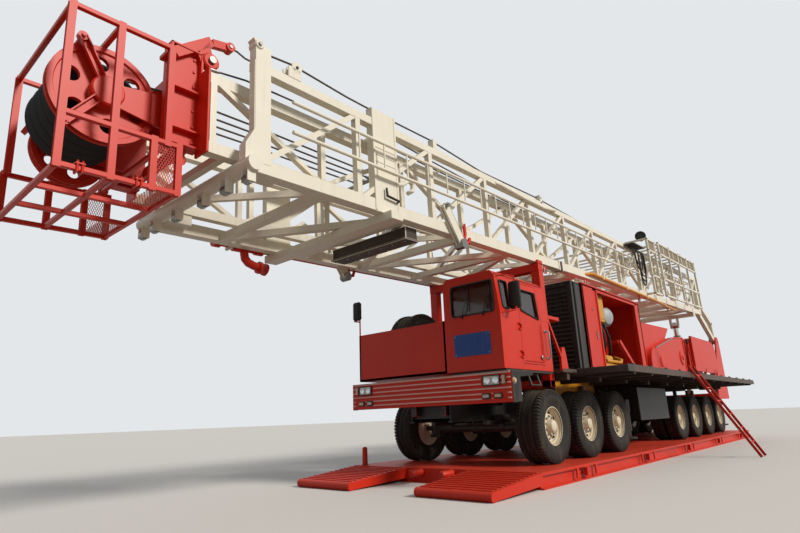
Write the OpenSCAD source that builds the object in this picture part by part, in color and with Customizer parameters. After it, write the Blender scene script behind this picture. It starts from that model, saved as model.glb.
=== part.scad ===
// Workover rig on a seven axle carrier, parked on its steel base frame.
// Millimetres. +X is forward, +Y is the vehicle's left, +Z is up from the ground.
// The origin lies on the ground under the middle of the base frame.

/* [Base frame] */
// Length of the flat deck
deck_len = 13960; // [12000:10:15000]
// Width over the side beams
base_w = 3594; // [3400:2:3800]
// Height of the deck above the ground
base_h = 220; // [180:5:300]
// Length of each drive-on ramp
ramp_len = 1280; // [900:10:1600]
// Width of each ramp
ramp_w = 1180; // [1000:10:1300]

/* [Carrier] */
// Distance from the middle of the base to the bumper's front face
bumper_x = 7220; // [7000:10:7600]
// Height of the frame rails' underside
rail_z = 900; // [860:5:960]
// Height of a frame rail
rail_h = 330; // [250:5:400]
// Width over the frame rails
rail_span = 860; // [800:10:900]
// Width of the front body
body_w = 2944; // [2800:2:3000]
// Height of the front body's lower edge
body_z = 1624; // [1580:2:1680]
// Height of the front body's top and of the cab's belt line
belt_z = 2440; // [2300:5:2500]
// Length of the front body and of the cab
cab_len = 1640; // [1500:10:1700]
// Width of the cab
cab_w = 1016; // [950:2:1100]
// Height of the cab's roof
roof_z = 3090; // [3000:5:3200]
// Thickness of the cab's walls
wall_t = 40; // [30:1:60]

/* [Running gear] */
// Distance from the bumper to the first axle
axle_1 = 1450; // [1400:10:1500]
// Spacing of the steered axles and of the driven ones
axle_gap = 1365; // [1330:5:1400]
// Distance from the bumper to the first driven axle
axle_4 = 8600; // [8400:10:8800]
// Radius of a steered wheel's tyre
front_r = 565; // [530:5:580]
// Width of a steered wheel's tyre
front_tyre_w = 410; // [360:5:430]
// Radius of a driven wheel's tyre
rear_r = 540; // [500:5:560]
// Width of one tyre of a driven pair
rear_tyre_w = 296; // [260:2:310]
// Distance between the two tyres of a driven pair
dual_gap = 345; // [330:5:370]
// Radius of the rims
rim_r = 286; // [270:2:300]
// Distance between the kingpins of one axle
king_span = 1860; // [1800:10:1900]

/* [Mast] */
// Slope of the lying mast in degrees
mast_tilt = 1.8; // [0.5:0.1:2.5]
// Height of the mast's foot pins
pivot_z = 3200; // [3150:10:3300]
// Distance from the bumper to the foot pins
pivot_back = 15100; // [14900:10:15200]
// Distance from the foot pins to the front portal
lower_len = 18950; // [18800:50:19200]
// Width over the lower section
lower_w = 2400; // [2360:10:2440]
// Height of the lower section
lower_h = 1280; // [1250:10:1300]
// Width over the upper section
upper_w = 1880; // [1850:10:1900]
// Height of the upper section
upper_h = 900; // [880:10:920]
// Size of the lower section's bottom chords
chord = 160; // [140:5:180]
// Size of the lattice members
web = 80; // [60:5:90]
// Number of bays along the lower section
lower_bays = 12; // [10:1:14]
// Number of bays along the upper section
upper_bays = 12; // [10:1:14]

/* [Crown] */
// Radius of the crown sheaves
sheave_r = 480; // [420:5:500]
// Number of sheaves on the crown shaft
sheave_count = 6; // [4:1:6]
// Width over the crown cage
cage_w = 1700; // [1600:10:1760]

/* [Platforms] */
// Width of a side walkway
walk_w = 880; // [700:10:900]
// Length of a side walkway
walk_len = 10400; // [10000:50:10600]
// Length of the racking board
board_len = 4400; // [4000:50:4600]
// Width of the racking board
board_w = 2960; // [2900:10:3000]

/* [Hidden] */
$fn = 48;

// Small clearances: a running fit, a seat and a moving part's gap
fit = 0.05;
seat = 0.3;
clear = 6;

// Places along the vehicle, measured from the origin
deck_x0 = bumper_x - 245 - deck_len;
deck_x1 = bumper_x - 245;
rail_x0 = bumper_x - 15300;
rail_x1 = bumper_x - 160;
rail_w = 90;
rail_t = 18;
rail_web_y = rail_span / 2 - rail_w / 2 + rail_t / 2;
front_z = base_h + seat + front_r;
rear_z = base_h + seat + rear_r;
steered = [for (i = [0:2]) bumper_x - axle_1 - i * axle_gap];
driven = [for (i = [0:3]) bumper_x - axle_4 - i * axle_gap];
king_y = king_span / 2;
front_y = 1260;
dual_y = 1078;
side_y = body_w / 2;
cab_y0 = side_y - cab_w;
cab_x0 = bumper_x - 60 - cab_len;
cab_x1 = bumper_x - 60;
pivot_x = bumper_x - pivot_back;

// Places in the mast's own frame: x along it from the foot pins, z square to it
lower_mid = 1460;
lower_bot = lower_mid - lower_h / 2;
lower_top = lower_mid + lower_h / 2;
upper_bot = lower_mid - upper_h / 2;
upper_top = lower_mid + upper_h / 2;
lower_x0 = 1500;
upper_x0 = 1900;
upper_x1 = 19400;
top_chord = 110;
leg_top = lower_bot + 620;

// Walkway and its hinge line
walk_y = 1474;
walk_z = 1700;
walk_pin_z = walk_z - 30;
walk_pin_r = 12;
walk_edge = walk_y + 30 + walk_w;
walk_hinges = 6;
walk_x1 = bumper_x - 2620;
walk_x0 = walk_x1 - walk_len;
function walk_hinge_x(i) = walk_x0 + 300 + i * (walk_len - 600) / (walk_hinges - 1);

// Ladder hooked on the left walkway
ladder_x = bumper_x - 6300;
ladder_half = 200;
ladder_pin = [walk_edge + 20, walk_z + 40];

// General shapes

// Square bar from a to b, w wide across and h high
module bar(a, b, w, h) {
    d = b - a;
    len = norm(d);
    translate(a)
        rotate([0, acos(d[2] / len), atan2(d[1], d[0])])
            translate([-h / 2, -w / 2, 0])
                cube([h, w, len]);
}

// Round bar from a to b
module rod(a, b, r) {
    d = b - a;
    len = norm(d);
    translate(a)
        rotate([0, acos(d[2] / len), atan2(d[1], d[0])])
            cylinder(h = len, r = r);
}

// Box between two corners
module box(a, b) {
    translate(a)
        cube(b - a);
}

// Plate outline in the XZ plane, t thick and centred on y
module plate_y(y, t) {
    translate([0, y + t / 2, 0])
        rotate([90, 0, 0])
            linear_extrude(t)
                children();
}

// Mirrored pair across the centreline
module both() {
    children();
    mirror([0, 1, 0]) children();
}

// Frame of the lying mast
module in_mast() {
    translate([pivot_x, 0, pivot_z])
        rotate([0, mast_tilt, 0])
            children();
}

// Flat member of a truss, from a to b in its plane
module strip(a, b, w) {
    d = b - a;
    translate(a)
        rotate(atan2(d[1], d[0]))
            translate([0, -w / 2])
                square([norm(d), w]);
}

// Base frame

beam_w = 120;
flange_t = 20;

// Outline of a side beam, web and flanges
module i_section(w, h, t) {
    difference() {
        square([w, h]);
        for (s = [0, 1])
            translate([s * (w / 2 + t / 2), t])
                square([w / 2 - t / 2, h - 2 * t]);
    }
}

module base_beam(y) {
    translate([deck_x1, y + beam_w / 2, 0])
        rotate([90, 0, -90])
            linear_extrude(deck_len)
                i_section(beam_w, base_h - flange_t, flange_t);
}

module ramp() {
    nose_r = 60;
    knee = deck_x1;
    tip = deck_x1 + ramp_len;
    plate_y(base_w / 2 - ramp_w / 2, ramp_w)
        polygon([[knee, 60], [knee, base_h], [tip - nose_r, nose_r * 1.9],
            [tip - nose_r, 10]]);
    translate([tip - nose_r, base_w / 2, nose_r])
        rotate([90, 0, 0])
            cylinder(h = ramp_w, r = nose_r);
}

module ramp_bars() {
    rows = 11;
    run = ramp_len - 60;
    for (i = [0:rows - 1]) {
        t = (i + 0.5) / rows;
        translate([deck_x1 + t * run, base_w / 2 - ramp_w + 40, base_h - t * (base_h - 114) - 6])
            cube([26, ramp_w - 80, 18]);
    }
}

module base_lug(x) {
    translate([x, base_w / 2 - 10, 0])
        difference() {
            translate([-70, 0, 60])
                cube([140, 60, 120]);
            translate([0, -1, 130])
                rotate([-90, 0, 0])
                    cylinder(h = 62, r = 32);
        }
}

module base_frame() {
    side = base_w / 2 - beam_w / 2;
    color("crimson") {
        for (y = [-side, -620, 620, side])
            base_beam(y);
        box([deck_x0, -base_w / 2, base_h - flange_t], [deck_x1, base_w / 2, base_h]);
        for (i = [0:10])
            translate([deck_x0 + i * (deck_len - 100) / 10, -side, 0])
                cube([100, 2 * side, base_h - flange_t]);
        translate([-50, -side, 0])
            cube([100, 2 * side, base_h - flange_t]);
        both() {
            ramp();
            ramp_bars();
            for (x = [-5600, -2800, 0, 2800, 5600])
                base_lug(x);
        }
    }
}

// Chassis

jack_h = 640;

module chassis_frame() {
    color("dimgray") {
        both()
            translate([rail_x1, rail_span / 2, rail_z])
                rotate([90, 0, -90])
                    linear_extrude(rail_x1 - rail_x0)
                        i_section(rail_w, rail_h, rail_t);
        for (i = [0:9])
            translate([rail_x0 + 60 + i * (rail_x1 - rail_x0 - 180) / 9, -rail_span / 2 + 40, rail_z + 60])
                cube([60, rail_span - 80, rail_h - 120]);
        // Feet of the raising cylinders
        both() {
            box([foot_x - 180, rail_span / 2 - 90, rail_z + rail_h - 10], [foot_x + 180, cyl_y + 110, rail_z + rail_h + 60]);
            for (d = [-75, 75])
                plate_y(cyl_y + d, 30)
                    polygon([[foot_x - 150, rail_z + rail_h], [foot_x + 150, rail_z + rail_h], [foot_x + 60, foot_z + 65],
                        [foot_x - 60, foot_z + 65]]);
            rod([foot_x, cyl_y - 95, foot_z], [foot_x, cyl_y + 95, foot_z], foot_pin);
        }
        // Levelling jacks, two behind the third axle and two at the tail
        both()
            for (x = [bumper_x - 5300, bumper_x - 13750]) {
                box([x - 90, rail_span / 2 - 50, rail_z + 40], [x + 90, 1250, rail_z + rail_h - 40]);
                translate([x, 1150, 560])
                    cylinder(h = jack_h, r = 110);
                translate([x, 1150, 430])
                    cylinder(h = 140, r = 85);
                translate([x, 1150, 400])
                    cylinder(h = 40, r = 190);
            }
    }
}

// One axle: tube or beam, differential and its two spring packs
module axle(x, z, half, drive) {
    spring_y = 530;
    rod([x, -half, z], [x, half, z], 75);
    if (drive) {
        translate([x, 0, z])
            sphere(r = 190);
        rod([x, 0, z], [x + 420, 0, z], 60);
    }
    both() {
        box([x - 90, spring_y - 45, z], [x + 90, spring_y + 45, rail_z - 60]);
        box([x - 560, spring_y - 40, rail_z - 60], [x + 560, spring_y + 40, rail_z]);
        box([x - 130, rail_span / 2, rail_z - 40], [x + 130, spring_y + 40, rail_z + 90]);
    }
}

module king_fork(x, z) {
    both()
        for (s = [-1, 1])
            difference() {
                box([x - 70, king_y - 120, z + s * 130 - 25], [x + 70, king_y + 60, z + s * 130 + 25]);
                translate([x, king_y, z + s * 130 - 30])
                    cylinder(h = 60, r = 30 + fit);
            }
    both()
        box([x - 70, king_y - 150, z - 155], [x + 70, king_y - 90, z + 155]);
}

module axles() {
    color("dimgray") {
        for (x = steered) {
            axle(x, front_z, king_y - 100, false);
            king_fork(x, front_z);
        }
        for (x = driven)
            axle(x, rear_z, 1080, true);
    }
}

// Steering knuckle: kingpin, block and spindle
module knuckle(i, s) {
    translate([steered[i], 0, front_z])
        mirror([0, (1 - s) / 2, 0])
            color("gray") {
                translate([0, king_y, -160])
                    cylinder(h = 320, r = 30);
                translate([0, king_y, -100])
                    cylinder(h = 200, r = 62);
                rod([0, king_y, 0], [0, front_y + 60, 0], 45);
                box([-190, king_y - 20, -80], [0, king_y + 20, -50]);
            }
}

// Wheels

// Half section of a tyre, turned about the wheel's axis
module tyre_ring(r, w) {
    bead = rim_r + 12;
    rotate([-90, 0, 0])
        rotate_extrude($fn = 64)
            polygon([[bead, -w * 0.38], [bead + 60, -w * 0.47], [r - 120, -w * 0.5], [r - 35, -w * 0.46],
                [r - 8, -w * 0.40], [r, -w * 0.30], [r, w * 0.30], [r - 8, w * 0.40], [r - 35, w * 0.46],
                [r - 120, w * 0.5], [bead + 60, w * 0.47], [bead, w * 0.38]]);
}

// Rim with its drop centre and the disc at offset d
module rim(w, d) {
    rotate([-90, 0, 0])
        rotate_extrude($fn = 64)
            polygon([[rim_r - 14, -w * 0.42], [rim_r + 14, -w * 0.42], [rim_r + 14, w * 0.42],
                [rim_r - 14, w * 0.42], [rim_r - 14, d + 40], [200, d + 34], [150, d + 6], [98, d + 6],
                [98, d - 8], [150, d - 8], [200, d + 14], [rim_r - 14, d + 14]]);
}

module hub(r, y0, y1, bore) {
    difference() {
        translate([0, y0, 0])
            rotate([-90, 0, 0])
                cylinder(h = y1 - y0, r = r);
        translate([0, y0 - 1, 0])
            rotate([-90, 0, 0])
                cylinder(h = y1 - y0 - 40, r = bore);
    }
}

module front_wheel(i, s) {
    color("dimgray")
        translate([steered[i], 0, front_z])
            mirror([0, (1 - s) / 2, 0])
                translate([0, front_y, 0]) {
                    tyre_ring(front_r, front_tyre_w);
                    rim(front_tyre_w, 30);
                    hub(105, -140, 120, 45 + fit);
                }
}

module rear_wheel(i, s) {
    color("dimgray")
        translate([driven[i], 0, rear_z])
            mirror([0, (1 - s) / 2, 0])
                translate([0, dual_y, 0]) {
                    translate([0, dual_gap / 2, 0]) {
                        tyre_ring(rear_r, rear_tyre_w);
                        rim(rear_tyre_w, -60);
                    }
                    translate([0, -dual_gap / 2, 0]) {
                        tyre_ring(rear_r, rear_tyre_w);
                        rim(rear_tyre_w, 60);
                    }
                    hub(105, -160, 230, 75 + fit);
                }
}

// Front bumper

bumper_w = 3190;

module front_bumper() {
    stripes = 6;
    z0 = 1150;
    z1 = 1567;
    color("crimson") {
        box([bumper_x - 130, -bumper_w / 2, z0], [bumper_x - 8, bumper_w / 2, z1]);
        for (i = [0:stripes - 1])
            translate([bumper_x - 9, -bumper_w / 2 + 40, z0 + 30 + i * 62])
                cube([9, bumper_w - 80, 34]);
        both() {
            box([rail_x1 + seat, 250, rail_z + 60], [bumper_x - 100, 340, z0 + 200]);
            translate([bumper_x - 10, bumper_w / 2 - 330, z1 - 90])
                box([0, 0, 0], [22, 220, 120]);
        }
    }
}

// Front body and cab

module front_body() {
    color("crimson") {
        box([cab_x0, -side_y, body_z], [cab_x1, cab_y0 - seat, belt_z]);
        box([bumper_x - 700, -430, rail_z + rail_h + seat], [bumper_x - 300, 430, body_z]);
        box([cab_x0 + 100, -430, rail_z + rail_h + seat], [cab_x0 + 300, 430, body_z]);
    }
}

// Cross section of the cab, looking along it
module cab_section(t) {
    lean = 60;
    polygon([[cab_y0 + t, body_z + t], [side_y - t, body_z + t], [side_y - t, belt_z],
        [side_y - lean - t, roof_z - 80], [side_y - lean - 70 - t, roof_z - t],
        [cab_y0 + 70 + t, roof_z - t], [cab_y0 + t, roof_z - 80]]);
}

module along_x(x0, x1) {
    translate([x0, 0, 0])
        rotate([90, 0, 90])
            linear_extrude(x1 - x0)
                children();
}

// Window with rounded corners, between two corners of a plane
module pane(a, b, r) {
    hull()
        for (x = [a[0] + r, b[0] - r], y = [a[1] + r, b[1] - r])
            translate([x, y])
                circle(r, $fn = 32);
}

door_x0 = cab_x1 - 1440;
door_x1 = cab_x1 - 560;
door_z0 = body_z + 60;
door_z1 = roof_z - 110;
glass_t = 8;
door_hinges = [door_z0 + 180, door_z0 + 560];
hinge_r = 8;

module wind_opening(g) {
    polygon([[cab_y0 + 90 + g, belt_z + 60 + g], [side_y - 150 - g, belt_z + 60 + g],
        [side_y - 170 - g, roof_z - 120 - g], [cab_y0 + 90 + g, roof_z - 120 - g]]);
}

module side_opening(g) {
    polygon([[cab_x1 - 470 + g, belt_z + 50 + g], [cab_x1 - 110 - g, belt_z + 50 + g],
        [cab_x1 - 110 - g, roof_z - 140 - g], [cab_x1 - 470 + g, roof_z - 140 - g]]);
}

module door_opening(g) {
    polygon([[door_x0 + 130 + g, belt_z + 40 + g], [door_x1 - 110 - g, belt_z + 40 + g],
        [door_x1 - 110 - g, door_z1 - 70 - g], [door_x0 + 130 + g, door_z1 - 70 - g]]);
}

module cab_walls() {
    difference() {
        along_x(cab_x0, cab_x1) cab_section(0);
        along_x(cab_x0 + wall_t, cab_x1 - wall_t) cab_section(wall_t);
    }
}

module cab_shell() {
    color("crimson") {
        difference() {
            cab_walls();
            along_x(cab_x1 - 2 * wall_t, cab_x1 + 10) wind_opening(0);
            plate_y(side_y, 320) side_opening(0);
            box([door_x0, side_y - 160, door_z0], [door_x1, side_y + 10, door_z1]);
        }
        // Hinge lugs and pins of the door
        for (z = door_hinges) {
            for (s = [-1, 1])
                box([door_x1 - 8, side_y - 10, z + s * 44 - 12], [door_x1 + 60, side_y + 28, z + s * 44 + 12]);
            translate([door_x1, side_y + 16, z - 50])
                cylinder(h = 100, r = hinge_r);
        }
        // Posts down to the frame rails
        for (x = [cab_x0 + 340, cab_x1 - 860])
            box([x, cab_y0 + 40, rail_z + rail_h - 90], [x + 120, cab_y0 + 160, body_z + 10]);
        box([cab_x0 + 340, rail_web_y + seat, rail_z + rail_h - 100], [cab_x1 - 740, cab_y0 + 160, rail_z + rail_h - 20]);
    }
}

module cab_glass() {
    color("lightblue") {
        along_x(cab_x1 - 24, cab_x1 - 24 + glass_t) wind_opening(seat);
        intersection() {
            plate_y(side_y, 320) side_opening(seat);
            difference() {
                along_x(cab_x0, cab_x1) cab_section(16);
                along_x(cab_x0, cab_x1) cab_section(16 + glass_t);
            }
        }
    }
}

module cab_door() {
    gap = 8;
    color("crimson") {
        for (z = door_hinges)
            difference() {
                union() {
                    translate([door_x1, side_y + 16, z - 30])
                        cylinder(h = 60, r = 15);
                    box([door_x1 - 60, side_y - 4, z - 30], [door_x1, side_y + 16, z + 30]);
                }
                translate([door_x1, side_y + 16, z - 40])
                    cylinder(h = 80, r = hinge_r + fit);
            }
        difference() {
            intersection() {
                cab_walls();
                box([door_x0 + gap, side_y - 160, door_z0 + gap], [door_x1 - gap, side_y + 10, door_z1 - gap]);
            }
            plate_y(side_y, 330) door_opening(0);
        }
    }
}

module door_glass() {
    color("lightblue")
        intersection() {
            plate_y(side_y, 330) door_opening(seat);
            difference() {
                along_x(cab_x0, cab_x1) cab_section(16);
                along_x(cab_x0, cab_x1) cab_section(16 + glass_t);
            }
        }
}

module cab_interior() {
    seat_x = cab_x0 + 420;
    seat_y = (cab_y0 + side_y) / 2;
    floor_z = body_z + wall_t;
    color("darkslategray") {
        box([seat_x, seat_y - 230, floor_z], [seat_x + 400, seat_y + 230, floor_z + 420]);
        box([seat_x - 90, seat_y - 230, floor_z + 380], [seat_x + 40, seat_y + 230, floor_z + 1050]);
        box([cab_x1 - 360, cab_y0 + 60, floor_z], [cab_x1 - 60, side_y - 60, floor_z + 780]);
        rod([cab_x1 - 330, seat_y, floor_z + 700], [cab_x1 - 480, seat_y, floor_z + 900], 30);
        translate([cab_x1 - 480, seat_y, floor_z + 900])
            rotate([0, -37, 0])
                rotate_extrude()
                    translate([210, 0])
                        circle(18, $fn = 16);
        translate([cab_x1 - 480, seat_y, floor_z + 900])
            rotate([0, -37, 0])
                translate([-20, -210, -10])
                    cube([40, 420, 20]);
    }
}

module spare_wheel() {
    color("dimgray")
        translate([bumper_x - 760, -330, belt_z + seat + 205])
            rotate([90, 0, 0]) {
                tyre_ring(front_r, front_tyre_w);
                rim(front_tyre_w, 30);
            }
}

// Front rest of the mast, in front of the cooler and behind the cab

rest_x = bumper_x - 1980;

module mast_rest() {
    top = pivot_z + (rest_x - pivot_x) * -tan(mast_tilt) + (lower_bot - 160) / cos(mast_tilt);
    color("crimson") {
        both()
            box([rest_x - 80, 900, rail_z + rail_h + 170], [rest_x + 80, 1060, top - 140]);
        box([rest_x - 80, -1060, rail_z + rail_h + 170], [rest_x + 80, 1060, rail_z + rail_h + 290]);
        both()
            box([rest_x - 60, 330, rail_z + rail_h + seat], [rest_x + 60, 420, rail_z + rail_h + 180]);
        difference() {
            box([rest_x - 90, -1160, top - 140], [rest_x + 90, 1160, top + 60]);
            in_mast()
                box([16000 - 4000, -1300, lower_bot - 160 - seat], [18000, 1300, lower_bot + 200]);
        }
    }
}

// Cooler, engine housing and drawworks on the deck

deck_z = 1700;
deck_x = bumper_x - 13700;

module radiator() {
    x1 = bumper_x - 2120;
    x0 = x1 - 700;
    color("black") {
        difference() {
            box([x0, -1380, deck_z], [x1, 1380, 3240]);
            for (s = [-1, 1])
                translate([x0 + 60, s * 1380 - 40, deck_z + 90])
                    cube([580, 80, 1360]);
        }
        both()
            for (i = [0:16])
                translate([x0 + 60, 1350, deck_z + 110 + i * 80])
                    rotate([35, 0, 0])
                        cube([580, 8, 60]);
    }
}

module engine_housing() {
    x1 = bumper_x - 3300;
    x0 = x1 - 3000;
    top = 3300;
    color("crimson") {
        difference() {
            box([x0, -1400, deck_z], [x1, 1400, top]);
            box([x0 + 60, -1340, deck_z - 10], [x1 - 60, 1340, top - 60]);
            for (s = [-1, 1])
                box([x0 + 420, s * 1400 - 80, deck_z + 60], [x1 - 520, s * 1400 + 80, top - 160]);
        }
    }
}

module engine() {
    x1 = bumper_x - 3700;
    color("goldenrod")
        {
            box([x1 - 2200, -320, rail_z + rail_h + seat], [x1, 320, deck_z]);
            box([x1 - 2200, -480, deck_z], [x1, 480, 2900]);
            for (x = [x1 - 1800, x1 - 600])
                box([x, -420, rail_z + rail_h + seat], [x + 200, 420, rail_z + rail_h + 60]);
        }
}

module drawworks() {
    x1 = bumper_x - 6900;
    color("crimson") {
        box([x1 - 2300, -1250, deck_z], [x1, 1250, 2500]);
        plate_y(1150, 300)
            polygon([[x1 - 2300, deck_z], [x1 - 100, deck_z], [x1 - 100, 2700], [x1 - 500, 3000],
                [x1 - 1500, 3000], [x1 - 2300, 2500]]);
        translate([x1 - 1100, 1250, 2350])
            rotate([90, 0, 0])
                cylinder(h = 2500, r = 560);
    }
}

module mast_support() {
    x = pivot_x;
    pin_r = 60;
    sill = rail_z + rail_h + seat;
    color("crimson")
        both() {
            for (y = [1010, 1190])
                difference() {
                    plate_y(y, 50)
                        polygon([[x - 160, pivot_z - 160], [x - 160, sill], [x + 1350, sill], [x + 1200, sill + 270],
                            [x + 200, pivot_z + 60], [x + 60, pivot_z + 150], [x - 100, pivot_z + 110]]);
                    translate([x, y + 30, pivot_z])
                        rotate([90, 0, 0])
                            cylinder(h = 60, r = pin_r - 1);
                }
            translate([x, 1225, pivot_z])
                rotate([90, 0, 0])
                    cylinder(h = 250, r = pin_r);
            box([x - 160, 300, sill], [x + 1350, 1215, sill + 80]);
        }
    color("crimson")
        box([x - 100, -985, sill], [x + 300, 985, sill + 200]);
}

module tanks() {
    color("dimgray") {
        both() {
            box([bumper_x - 7700, 700, 760], [bumper_x - 5700, 1350, 1450]);
            box([bumper_x - 7500, rail_web_y + seat, rail_z + 100], [bumper_x - 7300, 720, rail_z + 220]);
            box([bumper_x - 6100, rail_web_y + seat, rail_z + 100], [bumper_x - 5900, 720, rail_z + 220]);
        }
    }
}

module deck() {
    x1 = bumper_x - 2000;
    color("dimgray") {
        difference() {
            union() {
                box([deck_x, -1436, deck_z - 60], [x1, 1436, deck_z - seat]);
                for (i = [0:8])
                    translate([deck_x + 300 + i * (x1 - deck_x - 600) / 8, -1400, deck_z - 180])
                        cube([100, 2800, 130]);
            }
            // Openings over the engine, round the raising cylinders and round the mast rest
            box([bumper_x - 6100, -600, deck_z - 200], [bumper_x - 3500, 600, deck_z + 10]);
            both() {
                box([foot_x - 700, cyl_y - 220, deck_z - 200], [foot_x + 900, cyl_y + 220, deck_z + 10]);
                box([rest_x - 90, 890, deck_z - 200], [rest_x + 90, 1070, deck_z + 10]);
            }
        }
        // Hinge lugs and pins of the walkways
        both()
            for (i = [0:walk_hinges - 1]) {
                for (s = [-1, 1])
                    box([walk_hinge_x(i) + s * 62 - 10, 1420, walk_pin_z - 18], [walk_hinge_x(i) + s * 62 + 10, walk_y + 16, walk_pin_z + 18]);
                rod([walk_hinge_x(i) - 70, walk_y, walk_pin_z], [walk_hinge_x(i) + 70, walk_y, walk_pin_z], walk_pin_r);
            }
        for (i = [0:8])
            both()
                translate([deck_x + 300 + i * (x1 - deck_x - 600) / 8, 340, rail_z + rail_h + seat])
                    cube([100, 88, deck_z - 170 - rail_z - rail_h]);
    }
}

module ladder() {
    foot = [ladder_x, ladder_pin[0] + 960, 20];
    up = ([ladder_x, ladder_pin[0], ladder_pin[1]] - foot) / norm([0, 960, ladder_pin[1] - 20]);
    top = [ladder_x, ladder_pin[0], ladder_pin[1]] + 120 * up;
    rung_gap = 310;
    color("crimson") {
        for (s = [-1, 1])
            difference() {
                bar(foot + [s * ladder_half, 0, 0], top + [s * ladder_half, 0, 0], 30, 50);
                rod([ladder_x + s * ladder_half - 20, ladder_pin[0], ladder_pin[1]],
                    [ladder_x + s * ladder_half + 20, ladder_pin[0], ladder_pin[1]], walk_pin_r + fit);
            }
        for (i = [1:6])
            rod(foot + i * rung_gap * up - [ladder_half, 0, 0], foot + i * rung_gap * up + [ladder_half, 0, 0], 14);
    }
}

// Fold-out side walkway: deck, ribs and hinge barrels
module walkway() {
    y0 = walk_y + 30;
    color("dimgray") {
        box([walk_x0, y0, walk_z - 8], [walk_x1, walk_edge, walk_z]);
        box([walk_x0, walk_edge - 60, walk_z - 100], [walk_x1, walk_edge, walk_z]);
        for (i = [0:26])
            translate([walk_x0 + i * (walk_len - 40) / 26, y0, walk_z - 90])
                cube([40, walk_w, 86]);
        for (i = [0:walk_hinges - 1])
            difference() {
                union() {
                    rod([walk_hinge_x(i) - 50, walk_y, walk_pin_z], [walk_hinge_x(i) + 50, walk_y, walk_pin_z], 22);
                    box([walk_hinge_x(i) - 50, walk_y, walk_pin_z - 10], [walk_hinge_x(i) + 50, y0 + 20, walk_z - 4]);
                }
                rod([walk_hinge_x(i) - 60, walk_y, walk_pin_z], [walk_hinge_x(i) + 60, walk_y, walk_pin_z],
                    walk_pin_r + fit);
            }
    }
}

module walkway_left() {
    walkway();
    // Lugs and pins for the ladder's rails
    color("dimgray")
        for (s = [-1, 1]) {
            x = ladder_x + s * (ladder_half - 30);
            box([x - 8, walk_edge - 60, walk_z - 20], [x + 8, ladder_pin[0] + 18, ladder_pin[1] + 18]);
            rod([x, ladder_pin[0], ladder_pin[1]], [x + s * 60, ladder_pin[0], ladder_pin[1]], walk_pin_r);
        }
}

module walkway_right() {
    mirror([0, 1, 0]) walkway();
}

// Mast

// Web of a side truss: posts and alternating diagonals between x0 and x1
module web_plan(x0, x1, z0, z1, n, w) {
    bay = (x1 - x0) / n;
    for (i = [0:n])
        strip([x0 + i * bay, z0], [x0 + i * bay, z1], w);
    for (i = [0:n - 1]) {
        up = i % 2;
        strip([x0 + i * bay, up == 1 ? z0 : z1], [x0 + (i + 1) * bay, up == 1 ? z1 : z0], w * 0.8);
    }
}

// Bracing across the mast between its bottom chords
module floor_plan(x0, x1, half, n, w) {
    bay = (x1 - x0) / n;
    intersection() {
        translate([x0 - w / 2, -half])
            square([x1 - x0 + w, 2 * half]);
        union() {
            for (i = [0:n])
                strip([x0 + i * bay, -half], [x0 + i * bay, half], w);
            for (i = [0:n - 1]) {
                s = i % 2 == 0 ? 1 : -1;
                strip([x0 + i * bay, -s * half], [x0 + (i + 1) * bay, s * half], w * 0.8);
            }
        }
    }
}

module lower_side() {
    y = lower_w / 2 - chord / 2;
    color("white") {
        box([lower_x0, lower_w / 2 - chord, lower_bot], [lower_len, lower_w / 2, lower_bot + chord]);
        box([lower_x0, lower_w / 2 - top_chord, lower_top - top_chord], [lower_len, lower_w / 2, lower_top]);
        plate_y(lower_w / 2 - web / 2, web)
            web_plan(lower_x0 + web / 2, lower_len - web / 2, lower_bot + chord / 2, lower_top - top_chord / 2, lower_bays, web);
        box([lower_x0, lower_w / 2 - chord, lower_bot], [lower_x0 + 140, lower_w / 2, lower_top]);
        // Leg down to the foot pin
        difference() {
            plate_y(1100, 120)
                polygon([[-60, -100], [60, -100], [110, 0], [lower_x0 + 100, lower_bot], [lower_x0 + 100, leg_top],
                    [40, leg_top - 120], [-110, 60]]);
            plate_y(1100, 130)
                polygon([[190, 330], [lower_x0 - 150, lower_bot + 160], [lower_x0 - 150, leg_top - 140], [170, leg_top - 250]]);
            translate([0, 1170, 0])
                rotate([90, 0, 0])
                    cylinder(h = 140, r = 60 + fit);
        }
        // Pad that carries the upper section, and the front portal's post
        box([lower_len - 420, upper_w / 2 - 100, lower_bot + 50], [lower_len - 120, lower_w / 2 - chord + 20, upper_bot - seat]);
        box([lower_len - 160, lower_w / 2 - 160, lower_bot - 60], [lower_len, lower_w / 2, lower_top + 180]);
    }
}

// Place of the lower section's post i
function post_x(i) = lower_x0 + web / 2 + i * (lower_len - web - lower_x0) / lower_bays;

module mast_lower_sides() {
    in_mast() both() lower_side();
}

module mast_lower_floor() {
    in_mast()
        color("white") {
            translate([0, 0, lower_bot])
                linear_extrude(100)
                    floor_plan(lower_x0 + 120, lower_len - 900, lower_w / 2 - chord - seat, lower_bays, 120);
            rod([lower_len - 60, -1340, lower_bot - 150], [lower_len - 60, 1340, lower_bot - 150], 90);
            // Cross box and lugs for the raising cylinders' eyes
            box([lug_x - 120, -lower_w / 2, lower_bot - 110], [lug_x + 120, lower_w / 2, lower_bot - seat]);
            both()
                for (d = [-110, 110])
                    plate_y(cyl_y + d, 30)
                        polygon([[lug_x - 120, lower_bot - 100], [lug_x + 120, lower_bot - 100], [lug_x + 70, lug_z - 90],
                            [lug_x - 70, lug_z - 90]]);
            box([lower_len - 160, -1200, lower_bot - 70], [lower_len, 1200, lower_bot - 60 - seat]);
            box([lower_len - 2000, -1340, lower_bot - 110], [lower_len - 1780, 1340, lower_bot - seat]);
        }
}

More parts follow.
